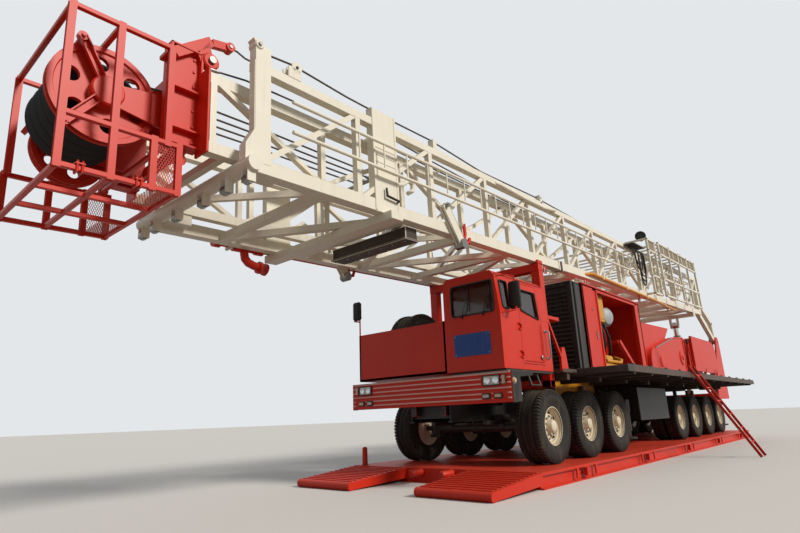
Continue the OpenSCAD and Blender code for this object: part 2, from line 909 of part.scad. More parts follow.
module mast_fittings() {
    y = lower_w / 2 + 120;
    pipe_y = lower_w / 2 + 90;
    pipe_z = lower_bot + 70;
    in_mast() {
        // Side ladder: two rails and rungs
        color("white") {
            for (z = [lower_mid - 120, lower_mid + 240])
                rod([2600, y, z], [lower_len - 300, y, z], 22);
            for (i = [0:34])
                rod([2700 + i * 440, y, lower_mid - 120], [2700 + i * 440, y, lower_mid + 240], 11);
            for (i = [1:lower_bays - 1])
                rod([post_x(i), lower_w / 2 + seat, lower_mid + 240], [post_x(i), y, lower_mid + 240], 18);
        }
        // Standpipe on the right bottom chord with its gooseneck
        color("crimson") {
            rod([4000, -pipe_y, pipe_z], [lower_len - 900, -pipe_y, pipe_z], 57);
            for (i = [2:lower_bays - 1])
                box([post_x(i) - 30, -pipe_y, pipe_z - 20], [post_x(i) + 30, -lower_w / 2 - seat, pipe_z + 20]);
        }
    }
}

module upper_side() {
    y1 = upper_w / 2;
    c = 120;
    color("white") {
        box([upper_x0, y1 - c, upper_bot], [upper_x1, y1, upper_bot + c]);
        box([upper_x0, y1 - c, upper_top - c], [upper_x1, y1, upper_top]);
        plate_y(y1 - 35, 70)
            web_plan(upper_x0 + 40, upper_x1 - 40, upper_bot + c / 2, upper_top - c / 2, upper_bays, 70);
        // Shoe that rides on the lower section's bottom chord
        box([upper_x0, y1 - 40, lower_bot + chord + seat], [upper_x0 + 320, lower_w / 2 - web - 12, upper_bot + 60]);
        difference() {
            plate_y(y1 - 60, 60)
                polygon([[board_x1 - 160, upper_top - 20], [board_x1 + 160, upper_top - 20], [board_x1 + 90, board_z + 40],
                    [board_x1 + 50, board_z + 90], [board_x1 - 50, board_z + 90], [board_x1 - 90, board_z + 40]]);
            translate([board_x1, y1, board_z])
                rotate([90, 0, 0])
                    cylinder(h = 100, r = 45 + fit);
        }
    }
}

module mast_upper_sides() {
    in_mast() both() upper_side();
}

module mast_upper_floor() {
    in_mast()
        color("white")
            translate([0, 0, upper_bot])
                linear_extrude(80)
                    floor_plan(upper_x0 + 60, upper_x1 - 200, upper_w / 2 - 120 - seat, upper_bays, 80);
}

// Crown

crown_x = pivot_back + 5140;
crown_mid = lower_mid + 20;

module crown_frame() {
    in_mast()
        color("crimson") {
            box([upper_x1, -940, upper_bot - 10], [upper_x1 + 30, 940, upper_top + 120]);
            both() {
                box([upper_x1, 900, upper_bot - 10], [upper_x1 + 380, 940, upper_top + 120]);
                difference() {
                    box([upper_x1 + 20, 470, crown_mid - 300], [crown_x + 130, 500, crown_mid + 300]);
                    translate([crown_x, 510, crown_mid])
                        rotate([90, 0, 0])
                            cylinder(h = 50, r = 50 + fit);
                }
            }
            box([upper_x1 + 350, -940, upper_bot - 10], [upper_x1 + 380, -500, upper_top + 120]);
            box([upper_x1 + 350, 500, upper_bot - 10], [upper_x1 + 380, 940, upper_top + 120]);
            // Winch line arm on the left side
            bar([upper_x1 + 200, 700, upper_top + 60], [upper_x1 - 500, 700, upper_top + 520], 90, 160);
        }
}

module crown_cage() {
    y1 = cage_w / 2;
    t = 50;
    x0 = upper_x1 + 380 + t / 2 + seat;
    x1 = x0 + 900;
    z0 = crown_mid - 1010;
    zm = crown_mid - 520;
    z1 = crown_mid + 540;
    in_mast()
        color("crimson") {
            for (s = [-1, 1]) {
                for (z = [z0, zm, z1])
                    bar([x0, s * y1, z], [x1, s * y1, z], t, t);
                for (x = [x0, (x0 + x1) / 2, x1])
                    bar([x, s * y1, z0 - t / 2], [x, s * y1, z1 + t / 2], t, t);
            }
            for (z = [z0, z1], x = [x0, x1])
                bar([x, -y1, z], [x, y1, z], t, t);
            bar([x1, -y1, zm], [x1, y1, zm], t, t);
            for (y = [-0.5, 0, 0.5])
                bar([x0, y * y1, z0], [x1, y * y1, z0], t, t);
        }
}

module crown_sheaves() {
    w = 940 - 60;
    pitch = w / sheave_count;
    in_mast()
        color("crimson")
            translate([crown_x, 0, crown_mid]) {
                rod([0, -540, 0], [0, 540, 0], 50);
                rotate([90, 0, 0])
                    rotate_extrude($fn = 64)
                        polygon(concat([[40, -w / 2]],
                            [for (i = [0:sheave_count - 1])
                                each [[sheave_r, -w / 2 + i * pitch], [sheave_r - 70, -w / 2 + (i + 0.35) * pitch],
                                    [sheave_r - 70, -w / 2 + (i + 0.65) * pitch], [sheave_r, -w / 2 + (i + 0.98) * pitch]]],
                            [[40, w / 2]]));
            }
}

// Racking board, folded along the mast's open side
board_x1 = 6300;
board_z = lower_top + 260;

module racking_board() {
    x0 = board_x1 - board_len;
    t = 50;
    y1 = board_w / 2 - t / 2;
    tiers = [board_z - 880, board_z - 380, board_z, board_z + 330];
    in_mast()
        color("white") {
            for (s = [-1, 1]) {
                for (z = tiers)
                    bar([x0, s * y1, z], [board_x1, s * y1, z], t, t);
                for (i = [0:5])
                    bar([x0 + i * board_len / 5, s * y1, tiers[0] - t / 2], [x0 + i * board_len / 5, s * y1, tiers[3] + t / 2], t, t);
            }
            for (i = [0:10])
                bar([x0 + i * board_len / 10, -y1, board_z], [x0 + i * board_len / 10, y1, board_z], 60, 60);
            bar([x0, -y1, tiers[3]], [x0, y1, tiers[3]], t, t);
            rod([board_x1, -y1, board_z], [board_x1, y1, board_z], 45);
        }
}

// Raising cylinders, lying between their feet on the chassis and the mast
foot_x = bumper_x - 13000;
foot_z = 1450;
eye_x = bumper_x - 12600;
eye_z = 3600;
cyl_y = 560;
foot_pin = 40;
cyl_len = norm([eye_x - foot_x, eye_z - foot_z]);
cyl_lean = atan2(eye_x - foot_x, eye_z - foot_z);

// Eye of the raising cylinders in the mast's frame
lug_x = (eye_x - pivot_x) * cos(mast_tilt) - (eye_z - pivot_z) * sin(mast_tilt);
lug_z = (eye_x - pivot_x) * sin(mast_tilt) + (eye_z - pivot_z) * cos(mast_tilt);

module in_cylinder() {
    both()
        translate([foot_x, cyl_y, foot_z])
            rotate([0, cyl_lean, 0])
                children();
}

module raising_barrels() {
    color("silver")
        in_cylinder()
            difference() {
                union() {
                    translate([0, 0, 190])
                        cylinder(h = cyl_len - 570, r = 130);
                    translate([0, 50, 0])
                        rotate([90, 0, 0])
                            cylinder(h = 100, r = 80);
                    box([-70, -50, 0], [70, 50, 200]);
                }
                translate([0, 0, 215])
                    cylinder(h = cyl_len, r = 105 + fit);
                translate([0, 60, 0])
                    rotate([90, 0, 0])
                        cylinder(h = 120, r = foot_pin + fit);
            }
}

module raising_stages() {
    color("silver")
        in_cylinder()
            difference() {
                translate([0, 0, 215 + seat])
                    cylinder(h = cyl_len - 540, r = 105);
                translate([0, 0, 245])
                    cylinder(h = cyl_len, r = 80 + fit);
            }
}

module raising_rods() {
    color("silver")
        in_cylinder() {
            translate([0, 0, 245 + seat])
                cylinder(h = cyl_len - 245, r = 80);
            translate([0, 50, cyl_len])
                rotate([90, 0, 0])
                    cylinder(h = 100, r = 110);
        }
}

module knuckle_1_left() { knuckle(0, 1); }
module knuckle_1_right() { knuckle(0, -1); }
module knuckle_2_left() { knuckle(1, 1); }
module knuckle_2_right() { knuckle(1, -1); }
module knuckle_3_left() { knuckle(2, 1); }
module knuckle_3_right() { knuckle(2, -1); }
module wheel_1_left() { front_wheel(0, 1); }
module wheel_1_right() { front_wheel(0, -1); }
module wheel_2_left() { front_wheel(1, 1); }
module wheel_2_right() { front_wheel(1, -1); }
module wheel_3_left() { front_wheel(2, 1); }
module wheel_3_right() { front_wheel(2, -1); }
module wheel_4_left() { rear_wheel(0, 1); }
module wheel_4_right() { rear_wheel(0, -1); }
module wheel_5_left() { rear_wheel(1, 1); }
module wheel_5_right() { rear_wheel(1, -1); }
module wheel_6_left() { rear_wheel(2, 1); }
module wheel_6_right() { rear_wheel(2, -1); }
module wheel_7_left() { rear_wheel(3, 1); }
module wheel_7_right() { rear_wheel(3, -1); }

base_frame();
chassis_frame();
axles();
front_bumper();
front_body();
cab_shell();
cab_glass();
cab_interior();
spare_wheel();
mast_rest();
radiator();
engine_housing();
engine();
drawworks();
mast_support();
tanks();
deck();
ladder();
cab_door();
door_glass();
walkway_left();
walkway_right();
knuckle_1_left();
knuckle_1_right();
knuckle_2_left();
knuckle_2_right();
knuckle_3_left();
knuckle_3_right();
wheel_1_left();
wheel_1_right();
wheel_2_left();
wheel_2_right();
wheel_3_left();
wheel_3_right();
wheel_4_left();
wheel_4_right();
wheel_5_left();
wheel_5_right();
wheel_6_left();
wheel_6_right();
wheel_7_left();
wheel_7_right();
mast_lower_sides();
mast_lower_floor();
mast_fittings();
mast_upper_sides();
mast_upper_floor();
crown_frame();
crown_cage();
crown_sheaves();
racking_board();
raising_barrels();
raising_stages();
raising_rods();
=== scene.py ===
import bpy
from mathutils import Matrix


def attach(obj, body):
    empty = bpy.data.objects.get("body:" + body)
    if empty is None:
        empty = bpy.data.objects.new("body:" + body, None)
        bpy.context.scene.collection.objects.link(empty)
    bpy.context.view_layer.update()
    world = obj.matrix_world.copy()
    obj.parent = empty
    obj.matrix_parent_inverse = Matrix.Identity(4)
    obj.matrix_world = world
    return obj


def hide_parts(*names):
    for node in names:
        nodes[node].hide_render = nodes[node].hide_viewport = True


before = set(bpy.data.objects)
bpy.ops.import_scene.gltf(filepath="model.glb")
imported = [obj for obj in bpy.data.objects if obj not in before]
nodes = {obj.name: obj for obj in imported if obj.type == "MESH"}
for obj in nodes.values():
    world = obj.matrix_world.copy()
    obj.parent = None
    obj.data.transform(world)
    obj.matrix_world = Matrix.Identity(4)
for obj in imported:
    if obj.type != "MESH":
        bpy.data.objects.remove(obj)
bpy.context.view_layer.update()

from math import cos, pi, radians, sin

import bmesh
import bpy
from mathutils import Matrix, Vector

# Camera: a wide view from low down on the yard, ahead of the cab and to the
# vehicle's left, as the photograph was taken. It is made first, because the
# cords are judged against what it sees.
eye = Vector((13.953, 5.513, 0.991))
forward = Vector((-0.72456, -0.63408, 0.26992)).normalized()
right = Vector((-0.66560, 0.74540, -0.03562))
right = (right - forward * right.dot(forward)).normalized()
up = right.cross(forward)
optic = bpy.data.cameras.new("yard_view")
optic.lens = 24.30
optic.sensor_width = 36.0
optic.clip_start = 0.05
optic.clip_end = 500.0
camera = bpy.data.objects.new("yard_view", optic)
camera.matrix_world = Matrix((right, up, -forward)).transposed().to_4x4()
camera.location = eye
bpy.context.scene.collection.objects.link(camera)
bpy.context.scene.camera = camera
bpy.context.scene.view_settings.view_transform = "Standard"


# Studio: a pale matt floor under a soft key light from the vehicle's left and
# an even pale surround, which metal and glass reflect too.
def linear(code):
    parts = [int(code[i:i + 2], 16) / 255 for i in (1, 3, 5)]
    return tuple(p / 12.92 if p <= 0.04045 else ((p + 0.055) / 1.055) ** 2.4 for p in parts) + (1.0,)


def add(tree, kind, links=(), **settings):
    node = tree.nodes.new(kind)
    for name, value in settings.items():
        if name.startswith("in_"):
            key = name[3:]
            key = int(key) if key.isdigit() else key.replace("_", " ")
            node.inputs[key].default_value = value
        else:
            setattr(node, name, value)
    for socket, source in links:
        tree.links.new(source, node.inputs[socket])
    return node


def seen_rays(tree):
    # 1 on rays that show a thing, straight, mirrored or through glass, else 0
    rays = add(tree, "ShaderNodeLightPath").outputs
    seen = add(tree, "ShaderNodeMath", [(0, rays["Is Camera Ray"]), (1, rays["Is Glossy Ray"])], operation="MAXIMUM")
    return add(tree, "ShaderNodeMath", [(0, seen.outputs[0]), (1, rays["Is Transmission Ray"])],
               operation="MAXIMUM").outputs[0]


world = bpy.data.worlds.new("pale_surround")
bpy.context.scene.world = world
world.use_nodes = True
tree = world.node_tree
tree.nodes.clear()
soft = add(tree, "ShaderNodeBackground", in_Color=linear("#E6ECF2"), in_Strength=0.40)
pale = add(tree, "ShaderNodeBackground", in_Color=linear("#E4E7EA"), in_Strength=1.0)
both = add(tree, "ShaderNodeMixShader", [(0, seen_rays(tree)), (1, soft.outputs[0]), (2, pale.outputs[0])])
add(tree, "ShaderNodeOutputWorld", [("Surface", both.outputs[0])])

key = bpy.data.lights.new("key", "SUN")
key.energy = 2.8
key.angle = radians(12)
key.color = (1.0, 0.955, 0.89)
lamp = bpy.data.objects.new("key", key)
toward = Vector((-0.16, 0.82, 0.55)).normalized()
lamp.rotation_euler = toward.to_track_quat("Z", "Y").to_euler()
bpy.context.scene.collection.objects.link(lamp)

material = bpy.data.materials.new("matt_pale_floor")
material.use_nodes = True
tree = material.node_tree
shader = tree.nodes["Principled BSDF"]
shader.inputs["Roughness"].default_value = 0.9
# the floor shows pale, and casts up no more light than a concrete yard does
tone = add(tree, "ShaderNodeMix", [(0, seen_rays(tree))], data_type="RGBA", in_6=linear("#8A8176"),
           in_7=linear("#DAD6D0"))
tree.links.new(tone.outputs[2], shader.inputs["Base Color"])
mesh = bpy.data.meshes.new("floor")
mesh.from_pydata([(-160, -160, 0), (160, -160, 0), (160, 160, 0), (-160, 160, 0)], [], [(0, 1, 2, 3)])
mesh.materials.append(material)
floor = bpy.data.objects.new("floor", mesh)
bpy.context.scene.collection.objects.link(floor)


# Paint on the welded steelwork: gloss red alkyd enamel sprayed over rolled
# plate and section. It gives a warm red with soft broad highlights, a faint
# orange peel, and pale dust that settles on what faces up.
def enamel(name, code, worn, dust, rough=0.42, peel=0.35, dusty=0.55, streak=0.25, shine=0.3, metal=0.0):
    mat = bpy.data.materials.new(name)
    mat.use_nodes = True
    tree = mat.node_tree
    shader = tree.nodes["Principled BSDF"]
    place = add(tree, "ShaderNodeTexCoord").outputs["Object"]
    # patches about 600 mm across where the sun has faded the paint
    fade = add(tree, "ShaderNodeTexNoise", [("Vector", place)], in_Scale=1.6, in_Detail=6.0, in_Roughness=0.62)
    base = add(tree, "ShaderNodeMix", [(0, fade.outputs["Fac"])], data_type="RGBA",
               in_6=linear(code), in_7=linear(worn))
    # rain streaks run down the faces, some 60 mm apart
    long = add(tree, "ShaderNodeMapping", [("Vector", place)], in_Scale=(9.0, 9.0, 0.7))
    runs = add(tree, "ShaderNodeTexNoise", [("Vector", long.outputs[0])], in_Scale=1.8, in_Detail=5.0)
    runs = add(tree, "ShaderNodeMapRange", [("Value", runs.outputs["Fac"])], in_1=0.52, in_2=0.78,
               in_3=0.0, in_4=streak)
    base = add(tree, "ShaderNodeMix", [(0, runs.outputs[0]), (6, base.outputs[2])], data_type="RGBA",
               in_7=linear(dust))
    # dust lies on upward faces, broken up at about 80 mm
    facing = add(tree, "ShaderNodeSeparateXYZ", [(0, add(tree, "ShaderNodeNewGeometry").outputs["Normal"])])
    lie = add(tree, "ShaderNodeMapRange", [("Value", facing.outputs["Z"])], in_1=0.35, in_2=0.95,
              in_3=0.0, in_4=dusty)
    grain = add(tree, "ShaderNodeTexNoise", [("Vector", place)], in_Scale=12.0, in_Detail=8.0, in_Roughness=0.7)
    grain = add(tree, "ShaderNodeMapRange", [("Value", grain.outputs["Fac"])], in_1=0.3, in_2=0.7,
                in_3=0.35, in_4=1.0)
    lie = add(tree, "ShaderNodeMath", [(0, lie.outputs[0]), (1, grain.outputs[0])], operation="MULTIPLY")
    base = add(tree, "ShaderNodeMix", [(0, lie.outputs[0]), (6, base.outputs[2])], data_type="RGBA",
               in_7=linear(dust))
    tree.links.new(base.outputs[2], shader.inputs["Base Color"])
    gloss = add(tree, "ShaderNodeMapRange", [("Value", lie.outputs[0])], in_1=0.0, in_2=0.6, in_3=rough, in_4=0.8)
    tree.links.new(gloss.outputs[0], shader.inputs["Roughness"])
    # orange peel, drawn at 6 mm so that it shows
    skin = add(tree, "ShaderNodeTexNoise", [("Vector", place)], in_Scale=160.0, in_Detail=2.0)
    bump = add(tree, "ShaderNodeBump", [("Height", skin.outputs["Fac"])], in_Strength=peel, in_Distance=0.0006)
    tree.links.new(bump.outputs[0], shader.inputs["Normal"])
    shader.inputs["Specular IOR Level"].default_value = shine
    shader.inputs["Metallic"].default_value = metal
    return mat


red_enamel = enamel("gloss_red_enamel", "#D62E14", "#C42812", "#B06A50", dusty=0.26, streak=0.05)
ivory_enamel = enamel("ivory_white_enamel", "#EFE9DA", "#E2DAC6", "#BFAE92", rough=0.36, dusty=0.4, streak=0.22)
# satin black enamel, also laid on the tanks as painted shade
black_paint_and_shade = enamel("satin_black_enamel", "#1C1B1A", "#24211E", "#6E5F50", rough=0.45, dusty=0.6, streak=0.3)
grey_enamel = enamel("dark_grey_enamel", "#3A3836", "#2F2D2B", "#77695A", rough=0.5, dusty=0.6, streak=0.3)
deck_paint = enamel("worn_deck_paint", "#4A3E38", "#5A4A40", "#8A7663", rough=0.6, dusty=0.6, streak=0.3)
engine_enamel = enamel("yellow_engine_enamel", "#D99A1F", "#C98A18", "#7A6A48", rough=0.4, dusty=0.5, streak=0.3)
tyre_rubber = enamel("dusty_tyre_rubber", "#23211E", "#2E2A25", "#7D6F5C", rough=0.8, peel=0.6, dusty=0.5, streak=0.3)
cream_enamel = enamel("cream_wheel_enamel", "#E6DAC2", "#D5C6A8", "#8D7A60", rough=0.4, dusty=0.4, streak=0.4)
bare_steel = enamel("bare_machined_steel", "#8C8A86", "#7A7874", "#8A7A66", rough=0.35, dusty=0.4, streak=0.2,
                    shine=0.5, metal=0.9)
chrome = enamel("hard_chrome_plate", "#D8D8D8", "#CFCFCF", "#9A8E7E", rough=0.12, peel=0.0, dusty=0.2, streak=0.05,
                shine=0.5, metal=1.0)
trim = enamel("dark_cab_trim", "#26282A", "#1D1F21", "#5A5148", rough=0.8, peel=0.8, dusty=0.2, streak=0.1)


def dress(mat, *names):
    for name in names:
        for place in nodes[name].material_slots:
            place.material = mat


# Wire lines and hoses: greased wire rope drawn between the mast's lugs and
# rollers, and black rubber hoses that hang in a hank ahead of the racking board,
# from one bracket back to it. They are made first, as the camera sees them all.
AHEAD, ACROSS, UP = (1, 0, 0), (0, 1, 0), (0, 0, 1)  # the vehicle's axes


def finish_box(bm, corners, slot, soft):
    for face in {f for corner in corners for f in corner.link_faces}:
        face.material_index = slot
    if soft:
        bmesh.ops.bevel(bm, geom=list({e for corner in corners for e in corner.link_edges}), offset=soft,
                        segments=1, affect="EDGES", clamp_overlap=True)


def plate(bm, low, high, slot=0, soft=0.0, side=1):
    # a box between two corners, mirrored in y where side is -1
    ends = [(x, side * y, z) for x, y, z in (low, high)]
    low, high = Vector(map(min, *ends)), Vector(map(max, *ends))
    corners = bmesh.ops.create_cube(bm, size=1.0)["verts"]
    for corner in corners:
        corner.co = (low + high) / 2 + Vector(c * s for c, s in zip(corner.co, high - low))
    finish_box(bm, corners, slot, soft)


def bar(bm, start, end, wide, deep, slot=0, soft=0.0, upward=UP):
    start, end = Vector(start), Vector(end)
    along = (end - start).normalized()
    side = Vector(upward).cross(along).normalized()
    over = along.cross(side)
    corners = bmesh.ops.create_cube(bm, size=1.0)["verts"]
    for corner in corners:
        x, y, z = corner.co
        corner.co = (start + end) / 2 + along * x * (end - start).length + side * y * wide + over * z * deep
    finish_box(bm, corners, slot, soft)


def skin(bm, loops, slot=0, closed=False):
    pairs = list(zip(loops, loops[1:])) + ([(loops[-1], loops[0])] if closed else [])
    for low, high in pairs:
        count = max(len(low), len(high))
        for k in range(count):
            nxt = (k + 1) % count
            if len(low) == 1 and len(high) == 1:
                continue
            if len(low) == 1:
                corners = (low[0], high[nxt], high[k])
            elif len(high) == 1:
                corners = (low[k], low[nxt], high[0])
            else:
                corners = (low[k], low[nxt], high[nxt], high[k])
            bm.faces.new(corners).material_index = slot


def turned(bm, rings, centre, along, count=48, slot=0, closed=False):
    turn = Vector(along).to_track_quat("Z", "X").to_matrix()
    loops = []
    for height, radius in rings:
        if radius < 1e-6:
            loops.append([bm.verts.new(Vector(centre) + turn @ Vector((0, 0, height)))])
        else:
            loops.append([bm.verts.new(Vector(centre) + turn @ Vector((radius * cos(2 * pi * k / count),
                                                                       radius * sin(2 * pi * k / count), height)))
                          for k in range(count)])
    skin(bm, loops, slot, closed)


def spun(bm, rings, centre, along, count=48, slot=0):
    # a turned solid, closed on its axis at both ends
    turned(bm, [(rings[0][0], 0), *rings, (rings[-1][0], 0)], centre, along, count, slot)


def pin(bm, low, high, radius, centre, along=ACROSS, count=16, slot=0):
    spun(bm, [(height, radius) for height in sorted((low, high))], centre, along, count, slot)


def band(bm, low, high, inner, outer, centre, along=ACROSS, count=48, slot=0):
    low, high = sorted((low, high))
    turned(bm, [(low, inner), (low, outer), (high, outer), (high, inner)], centre, along, count, slot, closed=True)


def tube(bm, points, radius, slot=0, count=10, closed=False):
    points = [Vector(p) for p in points]
    loops = []
    turn = None
    for i, point in enumerate(points):
        before = points[i - 1] if i or closed else point
        after = points[(i + 1) % len(points)] if i + 1 < len(points) or closed else point
        along = ((after - point).normalized() + (point - before).normalized()).normalized()
        stretch = 1.0
        if 0 < i < len(points) - 1 or closed:
            stretch = 1 / max(0.5, along.dot((after - point).normalized()))
        if turn is None:
            turn = along.to_track_quat("Z", "X")
        else:
            turn = (turn @ Vector((0, 0, 1))).rotation_difference(along) @ turn
        loops.append([bm.verts.new(point + turn @ Vector((radius * stretch * cos(2 * pi * k / count),
                                                          radius * stretch * sin(2 * pi * k / count), 0)))
                      for k in range(count)])
    if not closed:
        loops = [[bm.verts.new(points[0])]] + loops + [[bm.verts.new(points[-1])]]
    skin(bm, loops, slot, closed)


def fit(bm, name, body, *finishes, slot, instead_of=None, crease=32, place=None):
    if place:
        bm.transform(place)
    bmesh.ops.recalc_face_normals(bm, faces=bm.faces)
    mesh = bpy.data.meshes.new(name)
    bm.to_mesh(mesh)
    bm.free()
    for finish in finishes:
        mesh.materials.append(finish)
    mesh.shade_smooth()
    mesh.set_sharp_from_angle(angle=radians(crease))
    made = bpy.data.objects.new(name, mesh)
    bpy.context.scene.collection.objects.link(made)
    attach(made, body)
    if instead_of:
        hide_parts(instead_of)
    return made


# the mast's own frame: s runs from its foot pin to the crown, y to the left, t up
mast_place = Matrix.Translation((-7.88, 0, 3.2)) @ Matrix.Rotation(radians(1.8), 4, "Y")
wire_rope = enamel("greased_wire_rope", "#3B3632", "#57504A", "#6E6355", rough=0.5, peel=0.8, dusty=0.3, streak=0.2)
hose_black = enamel("black_rubber_hose", "#161514", "#1F1D1B", "#4E463C", rough=0.55, peel=0.4, dusty=0.3, streak=0.0)


def line(name, body, finish, points, diameter, far_end="object"):
    route = [mast_place @ Vector(point) for point in points]
    curve = bpy.data.curves.new(name, "CURVE")
    curve.dimensions = "3D"
    curve.bevel_depth = diameter / 2
    curve.bevel_resolution = 2
    curve.use_fill_caps = True
    curve.materials.append(finish)
    spline = curve.splines.new("POLY")
    spline.points.add(len(route) - 1)
    for point, place in zip(spline.points, route):
        point.co = (*place, 1)
    made = bpy.data.objects.new(name, curve)
    bpy.context.scene.collection.objects.link(made)
    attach(made, body)
    if far_end == "fitting":
        # swaged steel socket on the rope's end
        way = (route[-1] - route[-2]).normalized()
        bm = bmesh.new()
        spun(bm, [(-0.10, diameter * 0.75), (0, diameter * 1.25), (0.012, diameter * 1.25)], route[-1], way, 16)
        fit(bm, name + "_socket", body, bare_steel, slot="steel")


line("guide_rope_on_top_chord", "mast_lower", wire_rope,
     [(7.40, 1.12, 2.112), (9.2, 1.12, 2.14), (10.9, 1.12, 2.15), (12.68, 1.12, 2.20), (14.61, 1.12, 2.165),
      (15.96, 1.12, 2.27), (16.83, 1.12, 2.262), (17.66, 1.12, 2.275), (18.50, 1.12, 2.330), (19.0, 1.11, 2.285)],
     0.024, "fitting")
line("winch_rope_to_upper_mast", "mast_upper", wire_rope,
     [(11.0, 0.86, 1.921), (11.6, 0.86, 1.94), (13.6, 0.86, 2.02), (15.6, 0.86, 2.13), (17.2, 0.86, 2.235),
      (18.25, 0.85, 2.315), (18.92, 0.80, 2.375), (19.09, 0.74, 2.497)], 0.022,
     "fitting")
line("crown_rope_to_upper_mast", "mast_upper", wire_rope,
     [(9.6, 0.90, 1.921), (12.2, 0.90, 1.93), (14.4, 0.90, 1.955), (16.41, 0.90, 1.995), (17.49, 0.89, 2.03),
      (18.25, 0.87, 2.06), (18.92, 0.83, 2.075), (19.32, 0.77, 2.055)], 0.022,
     "fitting")
sheave_pitch = 0.165
for i in range(4):
    y = sheave_pitch * (i - 1.5)
    line(f"drilling_line_strand_{i + 1}", "mast_upper", wire_rope,
         [(20.201, y, 1.851), (19.47, y, 1.926), (18.3, y * 0.95, 1.945), (17.2, y * 0.9, 1.935),
          (16.2, y * 0.85, 1.935)], 0.026, "fitting")
# each hose's two ends along the mast, its y and how deep it hangs
hoses = ((7.46, 7.78, 1.365, 0.98), (7.52, 7.90, 1.395, 0.88), (7.58, 8.02, 1.425, 0.78), (7.64, 8.10, 1.385, 0.62),
         (7.70, 8.22, 1.410, 0.50))
for i, (s0, s1, y, deep) in enumerate(hoses):
    round_r, reach = (s1 - s0) / 2, y - 1.215
    bottom, side_t = 2.035 - deep + round_r, 1.995 - reach
    bend = [(1.215 + reach * sin(pi * k / 12), side_t + reach * cos(pi * k / 12)) for k in range(7)]
    points = [(s0, *place) for place in bend]
    points += [(s0, y, side_t - (side_t - bottom) * (k + 1) / 5) for k in range(4)]
    points += [(s0 + round_r * (1 - cos(pi * k / 14)), y, bottom - round_r * sin(pi * k / 14)) for k in range(15)]
    points += [(s1, y, bottom + (side_t - bottom) * (k + 1) / 5) for k in range(4)]
    points += [(s1, *place) for place in bend[::-1]]
    line(f"hanging_hose_{i + 1}", "mast_lower", hose_black, points, 0.032)

# Finishes of the solids that show as they are: sprayed enamel on the welded
# frames and the mast, worn deck paint, bare and chromed steel on the cylinders,
# and black on the tanks, which is painted shade.
dress(red_enamel, "base_frame", "mast_support", "ladder")
dress(ivory_enamel, "mast_fittings", "mast_upper_sides", "mast_upper_floor", "raising_barrels")
# the tanks are drawn black as painted shade, for the deep shade they hang in
dress(black_paint_and_shade, "chassis_frame", "tanks")
dress(grey_enamel, "axles", *[f"knuckle_{i}_{s}" for i in (1, 2, 3) for s in ("left", "right")])
dress(deck_paint, "deck", "walkway_left", "walkway_right")
dress(engine_enamel, "engine")
dress(bare_steel, "raising_stages")
dress(chrome, "raising_rods")
dress(trim, "cab_interior")


# Base frame: the flat steel skid that the carrier stands on, welded from plate
# and channel in red enamel, with ground anchors along its sides, a guide post on
# the right ramp and round stubs on the cross member between its ramps.
anchors = bmesh.new()
for x in (-5.6, -2.8, 0, 2.8, 5.6):
    for side in (-1, 1):
        for dx in (-0.34, 0.34):
            plate(anchors, (x + dx - 0.03, side * 1.812 - 0.012, 0.05), (x + dx + 0.03, side * 1.812 + 0.012, 0.19),
                  soft=0.004)
        pin(anchors, -0.03, 0.03, 0.05, (x, side * 1.815, 0.12), ACROSS, 20)
for y in (-0.30, 0.30):
    spun(anchors, [(-0.16, 0.055), (0.10, 0.055), (0.125, 0.04)], (7.12, y, 0.16), AHEAD, 24)
spun(anchors, [(0.20, 0.05), (0.50, 0.045), (0.52, 0.03)], (6.88, -1.66, 0), UP, 20)
pin(anchors, 0.20, 0.215, 0.085, (6.88, -1.66, 0.005), UP, 20)
fit(anchors, "base_frame_anchors", "carrier", red_enamel, slot="red_paint")

# Wheels: steel disc wheels 22.5 inches across in cream enamel, on dusty truck
# tyres. Both are turned shapes; the tread blocks are moulded round the shoulders
# and the wheel nuts stand in a ring on the disc.
def patterned(kind, part, count, spread, finish):
    # parts in a ring about z, spread is its radius, or in a row, spread is the step
    ring = kind == "ring"
    label = "Ring radius" if ring else "Step"
    tree = bpy.data.node_groups.new("parts_in_a_" + kind, "GeometryNodeTree")
    values = {}
    for name, socket, value in (("Part", "Object", part), ("Parts", "Int", count),
                                (label, "Float" if ring else "Vector", spread), ("Finish", "Material", finish)):
        values[tree.interface.new_socket(name, in_out="INPUT", socket_type="NodeSocket" + socket).identifier] = value
    tree.interface.new_socket("Mesh", in_out="OUTPUT", socket_type="NodeSocketGeometry")
    given = add(tree, "NodeGroupInput").outputs
    source = add(tree, "GeometryNodeObjectInfo", [("Object", given["Part"])])
    links = [("Instance", source.outputs["Geometry"])]
    if ring:
        points = add(tree, "GeometryNodeMeshCircle", [("Vertices", given["Parts"]), ("Radius", given[label])])
        step = add(tree, "ShaderNodeMath", [(1, given["Parts"])], operation="DIVIDE", in_0=2 * pi)
        turn = add(tree, "ShaderNodeMath",
                   [(0, add(tree, "GeometryNodeInputIndex").outputs[0]), (1, step.outputs[0])], operation="MULTIPLY")
        turn = add(tree, "ShaderNodeCombineXYZ", [("Z", turn.outputs[0])])
        links.append(("Rotation", turn.outputs[0]))
    else:
        points = add(tree, "GeometryNodeMeshLine", [("Count", given["Parts"]), ("Offset", given[label])])
    placed = add(tree, "GeometryNodeInstanceOnPoints", [("Points", points.outputs[0]), *links])
    real = add(tree, "GeometryNodeRealizeInstances", [(0, placed.outputs[0])])
    coated = add(tree, "GeometryNodeSetMaterial", [("Geometry", real.outputs[0]), ("Material", given["Finish"])])
    add(tree, "NodeGroupOutput", [(0, coated.outputs[0])])
    return grown(tree, values)


